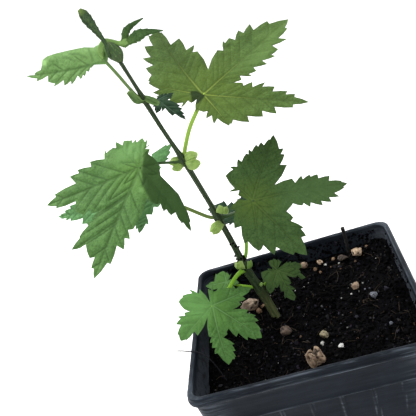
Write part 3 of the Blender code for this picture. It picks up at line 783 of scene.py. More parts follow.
@dataclass(frozen=True)
class Lobe:
    """One lobe: its angle from the leaf's heading (degrees, + to its left) and its length.

    Each side is given from its notch outwards, either by how many teeth it has (0 is a smooth
    side), or by where its teeth's tips stand in the photograph. The lobe's tip and the notch
    on its left may be given the same way.
    """

    angle: float
    length: float
    right: int | tuple[Pick, ...] = 4
    left: int | tuple[Pick, ...] = 4
    tip: Pick = ()
    after: Pick = ()
    belly: float = 0.2


@dataclass(frozen=True)
class Fold:
    """A crease across a blade, from one place of the photograph to another.

    The part on the left of the way from start to end falls back by slope.
    """

    ROUND = 1.2  # how soft the crease is, in millimetres

    start: Pick
    end: Pick
    slope: float


@dataclass(frozen=True)
class Relief:
    """How a blade's face rises and falls: vein grooves, swollen panels between them, the rise
    of each half lobe from its main vein, a wavy margin, and a droop towards the tips."""

    groove: float = 0.14
    quilt: float = 0.14
    fold: float = 0.04
    wave: float = 0.5
    droop: float = 1.0


@dataclass(frozen=True)
class PaintedLightAndShade:
    """Painted shade (share above 0) or painted light on a part of a blade, inside a ring of picks."""

    share: float
    fade: float  # millimetres
    edge: tuple[Pick, ...]


@dataclass(frozen=True)
class Vein:
    """A vein in the blade's plane: its points, its half width at either end, and its rank."""

    points: np.ndarray
    start_width: float
    end_width: float
    main: bool = False


@dataclass
class HopLeaf:
    """A hop leaf: a lobed and toothed blade on a stalk.

    The names, places and shapes are those of the part's own leaf of the same name.
    """

    THICKNESS = 0.24
    STALK_SIDES = 14
    STALK_STEPS = 10
    SMOOTH_POINTS = 9
    CREST = 3.4  # how far a side's middle stands out beside its belly
    CLEFT = 0.1  # where the cleft behind a tooth lies, as a share of the next tooth
    TIP_CLEFT = 0.4  # how deep the last cleft before the tip is beside the others
    ROUND = 0.05  # how far a tooth's back swells, as a share of the tooth
    VEIN_ANGLE = 42.0
    VEIN_PITCH = 8.5
    VEIN_CAP = 9.0  # the widest distance from a vein that is kept, in half widths
    BLOCK = 1500  # how many points are measured at a time
    UNDERSIDE = (31.0, 17.0, 0.0)  # how far the underside's pattern is moved
    STALK_FOOT = 0.55  # how much wider the stalk is at the stem
    STALK_TAPER = 0.75  # how much of its width it loses in the blade

    name: str
    joint: Place
    hub: Place
    facing: Place
    heading: Place
    lobes: tuple[Lobe, ...]
    notches: tuple[tuple[float, float], ...]
    base: tuple[float, float]
    stalk: tuple[Place, ...]
    stalk_radius: float
    finish: BladeFinish
    stalk_finish: StalkFinish
    relief: Relief = Relief()
    folds: tuple[Fold, ...] = ()
    # painted light and shade on parts of the blade
    tones: tuple[PaintedLightAndShade, ...] = ()
    tooth: float = 0.5
    bare: float = 0.2
    spacing: float = 0.55
    seed: int = 1
    veins: list[Vein] = field(default_factory=list)
    rng: np.random.Generator = field(init=False)

    def __post_init__(self) -> None:
        """Start the leaf's own random numbers."""
        self.rng = np.random.default_rng(self.seed)

    def axes(self) -> np.ndarray:
        """Work out the leaf's own directions.

        Returns:
            Its heading, left and facing directions, one a row.
        """
        facing = unit(self.facing)
        heading = np.asarray(self.heading, float)
        heading = unit(heading - facing * (heading @ facing))
        return np.array([heading, np.cross(facing, heading), facing])

    def flat_place(self, pick: Pick) -> np.ndarray:
        """Find where a place of the photograph lies in the blade's plane.

        Args:
            pick: The place in pixels.

        Returns:
            The place in millimetres along the heading and to the left of the hub.
        """
        axes = self.axes()
        sight = VIEW.sight(pick)
        away = np.asarray(self.hub) - VIEW.at
        return axes[:2] @ (sight * (away @ axes[2]) / (sight @ axes[2]) - away)

    def teeth(self, start: np.ndarray, tip: np.ndarray, out: np.ndarray, lobe: Lobe,
              count: int) -> list[np.ndarray]:
        """Space out the teeth of a side that isn't given tooth by tooth.

        Args:
            start: The notch.
            tip: The lobe's tip.
            out: The outward direction, as long as the side.
            lobe: The lobe.
            count: How many teeth the side has.

        Returns:
            The teeth's tips, from the notch outwards.
        """
        made = []
        for k in range(1, count + 1):
            left = (count + 1 - k + self.rng.uniform(-0.2, 0.2)) / (count + 1)
            share = 1 - (1 - self.bare) * left**1.25
            rise = lobe.belly * self.CREST * share * (1 - share)**1.2
            made.append(start + (tip - start) * share + out * (rise + 0.05 * left))
        return made

    def side(self, start: np.ndarray, tip: np.ndarray, turn: int, lobe: Lobe,
             given: int | tuple) -> list[np.ndarray]:
        """Draw one side of a lobe from its notch to its tip, and note its side veins.

        Args:
            start: The notch.
            tip: The lobe's tip.
            turn: 1 for the lobe's left side, -1 for its right side.
            lobe: The lobe.
            given: The side's number of teeth, or its teeth's places in the photograph.

        Returns:
            Points of the side, the tip left out.
        """
        chord = tip - start
        out = turn * np.array((-chord[1], chord[0]))
        if given == 0:
            t = np.linspace(0, 1, self.SMOOTH_POINTS, endpoint=False)[:, None]
            return list(start + chord * t + out * lobe.belly * self.CREST * t * (1 - t)**1.2)
        last = lobe.tip[2] if len(lobe.tip) > 2 else self.TIP_CLEFT
        if isinstance(given, tuple):
            tips = [self.flat_place(pick) for pick in given]
            clefts = [pick[2] if len(pick) > 2 else 1.0 for pick in given] + [last]
        else:
            tips = self.teeth(start, tip, out, lobe, given)
            clefts = [1.0] * given + [last]
        marks = [start, *tips, tip]
        made = [start]
        for k in range(1, len(marks)):
            step = marks[k] - marks[k - 1]
            away = turn * np.array((-step[1], step[0]))
            if k > 1:
                depth = self.tooth * clefts[k - 1] * self.rng.uniform(0.85, 1.15)
                made.append(marks[k - 1] + step * self.CLEFT * self.rng.uniform(0.7, 1.3) - away * depth)
            if clefts[k - 1]:
                made.append((made[-1] + marks[k]) / 2 + away * self.ROUND)
            made.append(marks[k])
        self.side_veins(tip, start, [place for place, cleft in zip(tips, clefts) if cleft])
        return made[:-1]

    def side_veins(self, tip: np.ndarray, notch: np.ndarray, teeth: list[np.ndarray]) -> None:
        """Note the side veins that leave a lobe's main vein for one of its sides.

        Args:
            tip: The lobe's tip.
            notch: The notch at the side's foot.
            teeth: The side's teeth.
        """
        axis = unit(tip)
        reach = float(np.linalg.norm(notch))
        ends = [notch * (r / reach) for r in np.arange(self.VEIN_PITCH, reach, self.VEIN_PITCH)]
        gap = teeth[0] - notch if teeth else tip * 0
        parts = int(np.linalg.norm(gap) / self.VEIN_PITCH)
        ends += [notch + gap * k / (parts + 1) for k in range(1, parts + 1)]
        for end in [*ends, *teeth]:
            along = float(end @ axis)
            off = float(np.linalg.norm(end - axis * along))
            foot = max(along - off / math.tan(math.radians(self.VEIN_ANGLE)), 0.03 * along, 0.4)
            start = axis * foot
            middle = start * 0.5 + end * 0.5 + axis * 0.07 * off
            t = np.linspace(0, 0.95, 9)[:, None]
            line = start * (1 - t)**2 + middle * 2 * t * (1 - t) + end * t**2
            self.veins.append(Vein(line, 0.17, 0.09))

    def outline(self) -> np.ndarray:
        """Draw the blade's whole margin in its own plane, and note its veins.

        Returns:
            The margin's points, shape (n, 2), anticlockwise, close enough to carry a mesh.
        """
        base = direction(self.base[0]) * self.base[1]
        notches = [base]
        for lobe, (angle, reach) in zip(self.lobes, self.notches):
            notches.append(self.flat_place(lobe.after) if lobe.after else direction(angle) * reach)
        notches.append(base)
        corners = []
        for i, lobe in enumerate(self.lobes):
            tip = self.flat_place(lobe.tip) if lobe.tip else direction(lobe.angle) * lobe.length
            right_side = self.side(notches[i], tip, -1, lobe, lobe.right)
            left_side = self.side(notches[i + 1], tip, 1, lobe, lobe.left)
            corners += [*right_side, tip, *left_side[:0:-1]]
            t = np.linspace(0, 0.97, 30)[:, None]
            bow = np.array((-tip[1], tip[0])) * self.rng.uniform(-0.025, 0.025)
            line = tip * t + bow * np.sin(np.pi * t)
            self.veins.append(Vein(line, 0.24 + 0.003 * lobe.length, 0.1, True))
        corners = np.array(corners)
        made = []
        for start, end in zip(corners, np.roll(corners, -1, axis=0)):
            parts = max(1, math.ceil(np.linalg.norm(end - start) / self.spacing))
            made += [start + (end - start) * k / parts for k in range(parts)]
        return np.array(made)

    @staticmethod
    def gaps(points: np.ndarray, starts: np.ndarray, ends: np.ndarray) -> np.ndarray:
        """Measure each point's distance to each straight piece.

        Args:
            points: Shape (n, 2).
            starts: Where the pieces start, shape (m, 2).
            ends: Where they end.

        Returns:
            Distances, shape (n, m).
        """
        span = ends - starts
        size = (span**2).sum(1) + 1e-12
        apart = points[:, None] - starts
        share = np.clip((apart * span).sum(2) / size, 0, 1)
        return np.linalg.norm(apart - share[..., None] * span, axis=2)

    def to_ring(self, points: np.ndarray, ring: np.ndarray) -> np.ndarray:
        """Measure each point's distance to a closed ring.

        Args:
            points: Shape (n, 2).
            ring: The ring's corners.

        Returns:
            Distances, shape (n,).
        """
        blocks = np.array_split(points, max(1, len(points) // self.BLOCK))
        return np.concatenate([self.gaps(block, ring, np.roll(ring, -1, axis=0)).min(1) for block in blocks])

    @staticmethod
    def inside(points: np.ndarray, ring: np.ndarray) -> np.ndarray:
        """Tell which points lie inside a closed ring.

        Args:
            points: Shape (n, 2).
            ring: The ring's corners.

        Returns:
            True for each point inside.
        """
        x, y = points[:, :1], points[:, 1:]
        ends = np.roll(ring, -1, axis=0)
        crosses = (ring[:, 1] > y) != (ends[:, 1] > y)
        rise = np.where(ends[:, 1] == ring[:, 1], 1e-12, ends[:, 1] - ring[:, 1])
        meets = ring[:, 0] + (y - ring[:, 1]) / rise * (ends[:, 0] - ring[:, 0])
        return ((crosses & (x < meets)).sum(1) % 2) == 1

    def fill(self, ring: np.ndarray) -> np.ndarray:
        """Choose points inside the margin: along the veins, then a loose even grid.

        Args:
            ring: The margin.

        Returns:
            The points, shape (n, 2).
        """
        step = self.spacing
        rows = []
        for vein in self.veins:
            cut = np.concatenate([np.linspace(a, b, 4)[:-1] for a, b in zip(vein.points, vein.points[1:])])
            gaps = np.linalg.norm(np.diff(cut, axis=0), axis=1)
            picks = [cut[0]]
            travelled = 0.0
            for point, gap in zip(cut[1:], gaps):
                travelled += gap
                if travelled >= step * 0.9:
                    picks.append(point)
                    travelled = 0.0
            rows.append(np.array(picks))
        on_veins = np.vstack(rows)
        low, high = ring.min(0), ring.max(0)
        grid = []
        for j, y in enumerate(np.arange(low[1], high[1], step * 0.866)):
            for x in np.arange(low[0] + (j % 2) * step / 2, high[0], step):
                grid.append((x, y))
        grid = np.array(grid) + self.rng.uniform(-0.12, 0.12, (len(grid), 2)) * step
        keep = []
        for block in np.array_split(grid, max(1, len(grid) // self.BLOCK)):
            near = np.linalg.norm(block[:, None] - on_veins, axis=2).min(1)
            keep.append(block[near > step * 0.55])
        chosen = self.thin(on_veins, step * 0.5)
        points = np.vstack([chosen, *keep])
        kept = []
        for block in np.array_split(points, max(1, len(points) // self.BLOCK)):
            clear = self.to_ring(block, ring) > step * 0.4
            kept.append(block[clear & self.inside(block, ring)])
        return np.vstack(kept)

    @staticmethod
    def thin(points: np.ndarray, apart: float) -> np.ndarray:
        """Drop points that fall in a cell already taken.

        Args:
            points: Shape (n, 2).
            apart: How wide a cell is.

        Returns:
            The points that stay.
        """
        cells = np.round(points / apart).astype(int)
        _, first = np.unique(cells, axis=0, return_index=True)
        return points[np.sort(first)]

    def heights(self, flat: np.ndarray, rim: np.ndarray) -> tuple[np.ndarray, np.ndarray, np.ndarray]:
        """Work out the blade's relief and how far its veins are.

        Args:
            flat: Points in the blade's plane.
            rim: Their distance from the margin.

        Returns:
            Heights, then the distances of the nearest main and the nearest side vein, in that
            vein's half widths.
        """
        starts, ends, widths, main = [], [], [], []
        for vein in self.veins:
            share = np.linspace(0, 1, len(vein.points) - 1)
            starts.append(vein.points[:-1])
            ends.append(vein.points[1:])
            widths.append(vein.start_width + (vein.end_width - vein.start_width) * share)
            main.append(np.full(len(vein.points) - 1, vein.main))
        starts, ends = np.vstack(starts), np.vstack(ends)
        widths, main = np.concatenate(widths), np.concatenate(main)
        height, trunk, branch = [], [], []
        for block in np.array_split(flat, max(1, len(flat) // self.BLOCK)):
            gaps = self.gaps(block, starts, ends)
            groove = np.exp(-(gaps / (widths * 2.8))**2).max(1)
            lift = self.relief.quilt * (1 - np.exp(-(gaps.min(1) / 1.2)**2))
            rise = self.relief.fold * np.minimum(gaps[:, main].min(1), 9.0)
            height.append(lift + rise - self.relief.groove * groove)
            shares = np.minimum(gaps / widths, self.VEIN_CAP)
            trunk.append(shares[:, main].min(1))
            branch.append(shares[:, ~main].min(1))
        height = np.concatenate(height) * np.clip(rim / 1.4, 0.25, 1.0)
        reach = max(lobe.length for lobe in self.lobes)
        out = np.linalg.norm(flat, axis=1) / reach
        near_rim = np.exp(-rim / 3.0)
        height += self.relief.wave * near_rim * field_noise(flat, 6.0, self.seed) * 1.6
        height += self.relief.wave * 0.8 * field_noise(flat, 15.0, self.seed + 9.0, 2)
        height -= self.relief.droop * out**2
        for fold in self.folds:
            start = self.flat_place(fold.start)
            way = unit(self.flat_place(fold.end) - start)
            side = (flat - start) @ (-way[1], way[0])
            height -= fold.slope * (side + np.sqrt(side**2 + Fold.ROUND**2)) / 2
        return height, np.concatenate(trunk), np.concatenate(branch)

    def painted_light_and_shade(self, flat: np.ndarray) -> np.ndarray:
        """Find how much painted shade (above 0) or painted light the blade's tones put on points of its
        plane.

        Args:
            flat: The points.

        Returns:
            One value a point.
        """
        total = np.zeros(len(flat))
        for tone in self.tones:
            ring = np.array([self.flat_place(pick) for pick in tone.edge])
            away = self.to_ring(flat, ring)
            depth = np.where(self.inside(flat, ring), away, -away)
            total += tone.share * np.clip(depth / tone.fade + 0.5, 0, 1)
        return total

    def stand(self, flat: np.ndarray, height: np.ndarray, sunk: np.ndarray) -> np.ndarray:
        """Move the blade's points to where the leaf stands.

        Args:
            flat: Points in the blade's plane.
            height: Their relief, along the line of sight so that the seen margin stays put.
            sunk: How far they lie under the upper face.

        Returns:
            The points in the rim's frame.
        """
        axes = self.axes()
        eye = axes @ (np.asarray(VIEW.at) - self.hub)
        slide = (eye[:2] - flat) * (height / eye[2])[:, None]
        return np.asarray(self.hub) + np.column_stack([flat + slide, height - sunk]) @ axes

    def build_blade(self) -> None:
        """Build the blade: a thin closed sheet with grooved veins above, raised ones below."""
        ring = self.outline()
        given = [Vector(p) for p in np.vstack([ring, self.fill(ring)])]
        flat, _, triangles, _, _, _ = delaunay_2d_cdt(given, [], [list(range(len(ring)))], 1, 1e-5)
        used, triangles = np.unique(np.array(triangles), return_inverse=True)
        triangles = triangles.reshape(-1, 3)
        flat = np.array([p[:] for p in flat])[used]
        rim = self.to_ring(flat, ring)
        height, trunk, branch = self.heights(flat, rim)
        rib = (0.5 * np.exp(-trunk**2 / 5) + 0.25 * np.exp(-branch**2 / 5)) * np.clip(rim / 0.8, 0, 1)
        above = self.stand(flat, height, 0.0 * rib)
        below = self.stand(flat, height, self.THICKNESS + rib)
        count = len(flat)
        pairs = np.sort(triangles[:, [0, 1, 1, 2, 2, 0]].reshape(-1, 2), axis=1)
        names, times = np.unique(pairs, axis=0, return_counts=True)
        border = {tuple(pair) for pair in names[times == 1]}
        faces = [tuple(t) for t in triangles] + [tuple(count + k for k in t[::-1]) for t in triangles]
        for triangle in triangles:
            for k in range(3):
                a, b = triangle[k], triangle[(k + 1) % 3]
                if (min(a, b), max(a, b)) in border:
                    faces.append((b, a, count + a, count + b))
        spots = np.column_stack([flat, np.zeros(count)])
        draft = Draft(f"{self.name}_blade")
        draft.add(
            np.vstack([above, below]), faces, flat=np.vstack([spots, spots + self.UNDERSIDE]),
            trunk=np.tile(trunk, 2), branch=np.tile(branch, 2), rim=np.tile(rim, 2),
            # the tone layer: painted shade above 0, painted light below 0
            tone=np.tile(self.painted_light_and_shade(flat), 2),
            hub=np.tile(np.linalg.norm(flat, axis=1), 2), under=np.repeat([0.0, 1.0], count),
        )
        seat(draft.finish(self.finish.material(f"{self.name}_green"), 60.0), Slot.LEAF, self.name)

    def build_stalk(self) -> None:
        """Build the stalk: grooved, thicker at the stem, its thin end let into the blade."""
        facing = unit(self.facing)
        under = np.asarray(self.hub) - facing * (self.stalk_radius + self.THICKNESS)
        middle = np.zeros((1, 2))
        relief = self.heights(middle, np.full(1, self.lobes[0].length))[0]
        end = self.stand(middle, relief, np.full(1, self.THICKNESS / 2))[0]
        path = smooth_path(np.array([self.joint, *self.stalk, under, end]), self.STALK_STEPS)
        share = np.linspace(0, 1, len(path))[:, None]
        sides = self.STALK_SIDES
        angle = 2 * np.pi * np.arange(sides) / sides
        parts = len(self.stalk) + 2
        last = np.clip(share * parts - parts + 1, 0, 1)
        swell = 1 + self.STALK_FOOT * np.exp(-(share / 0.09)**2) - self.STALK_TAPER * last
        groove = 1 - 0.2 * np.exp(-((angle - np.pi / 2) / 0.45)**2)
        reach = self.stalk_radius * swell * groove
        draft = Draft(f"{self.name}_stalk")
        draft.add(tube_points(path, reach, tuple(np.cross(facing, path[-1] - path[0]))),
                  tube_faces(len(path), sides), along=np.repeat(share.ravel(), sides),
                  flat=tube_spots(path, sides),
                  ridge=np.tile(np.clip(np.cos(2 * angle), 0, 1), len(path)) * 0.5)
        seat(draft.finish(self.stalk_finish.material(f"{self.name}_stalk_green")), Slot.LEAF, self.name)

    def build(self) -> None:
        """Build the blade and the stalk, which together stand for the part's leaf."""
        self.build_blade()
        self.build_stalk()


BRIGHT_STALK = StalkFinish((0.2, 0.44, 0.04), (0.33, 0.6, 0.05), (0.4, 0.64, 0.1), through=0.3)
LIME_STALK = StalkFinish((0.25, 0.42, 0.06), (0.34, 0.54, 0.08), (0.5, 0.7, 0.2), through=0.2)
OLIVE_STALK = StalkFinish((0.1, 0.15, 0.04), (0.15, 0.22, 0.05), (0.22, 0.29, 0.08))
DARK_STALK = StalkFinish((0.03, 0.06, 0.02), (0.04, 0.08, 0.025), (0.07, 0.12, 0.03))
FRESH_STALK = StalkFinish((0.11, 0.18, 0.05), (0.15, 0.26, 0.09), (0.24, 0.36, 0.13), through=0.1)

FRESH_GREEN = BladeFinish((0.112, 0.256, 0.07), (0.08, 0.19, 0.05), (0.118, 0.262, 0.054),
                          (0.19, 0.37, 0.13), vein_share=0.7, vein_reach=40.0, side_vein_shade=0.35)
DULL_GREEN = BladeFinish((0.056, 0.112, 0.033), (0.038, 0.08, 0.026), (0.076, 0.142, 0.034),
                         (0.12, 0.2, 0.06), vein_share=0.5)
DEEP_GREEN = BladeFinish((0.056, 0.112, 0.034), (0.041, 0.085, 0.027), (0.1, 0.16, 0.026),
                         (0.19, 0.29, 0.06), heart_reach=12.0, vein_share=0.25, vein_reach=14.0,
                         side_vein_shade=0.3)
OLIVE_GREEN = BladeFinish((0.098, 0.176, 0.046), (0.058, 0.104, 0.031), (0.116, 0.176, 0.022),
                          (0.29, 0.38, 0.07), heart_reach=30.0, vein_share=0.6, heart_share=0.6,
                          vein_reach=22.0, side_vein_shade=0.3)
SPRING_GREEN = BladeFinish((0.102, 0.215, 0.063), (0.074, 0.16, 0.048), (0.15, 0.3, 0.066),
                           (0.12, 0.24, 0.06), heart_reach=16.0, vein_share=0.4)
SEA_GREEN = BladeFinish((0.165, 0.365, 0.14), (0.1, 0.235, 0.085), (0.14, 0.32, 0.1),
                        (0.23, 0.46, 0.2), vein_share=0.35)
PALE_GREEN = BladeFinish((0.215, 0.385, 0.13), (0.145, 0.28, 0.09), (0.24, 0.41, 0.14),
                         (0.105, 0.21, 0.066), heart_reach=16.0, vein_share=0.45, through=0.3)
SHADE_GREEN = BladeFinish((0.024, 0.058, 0.029), (0.01, 0.028, 0.015), (0.035, 0.08, 0.036),
                          (0.11, 0.19, 0.12), vein_share=0.45)

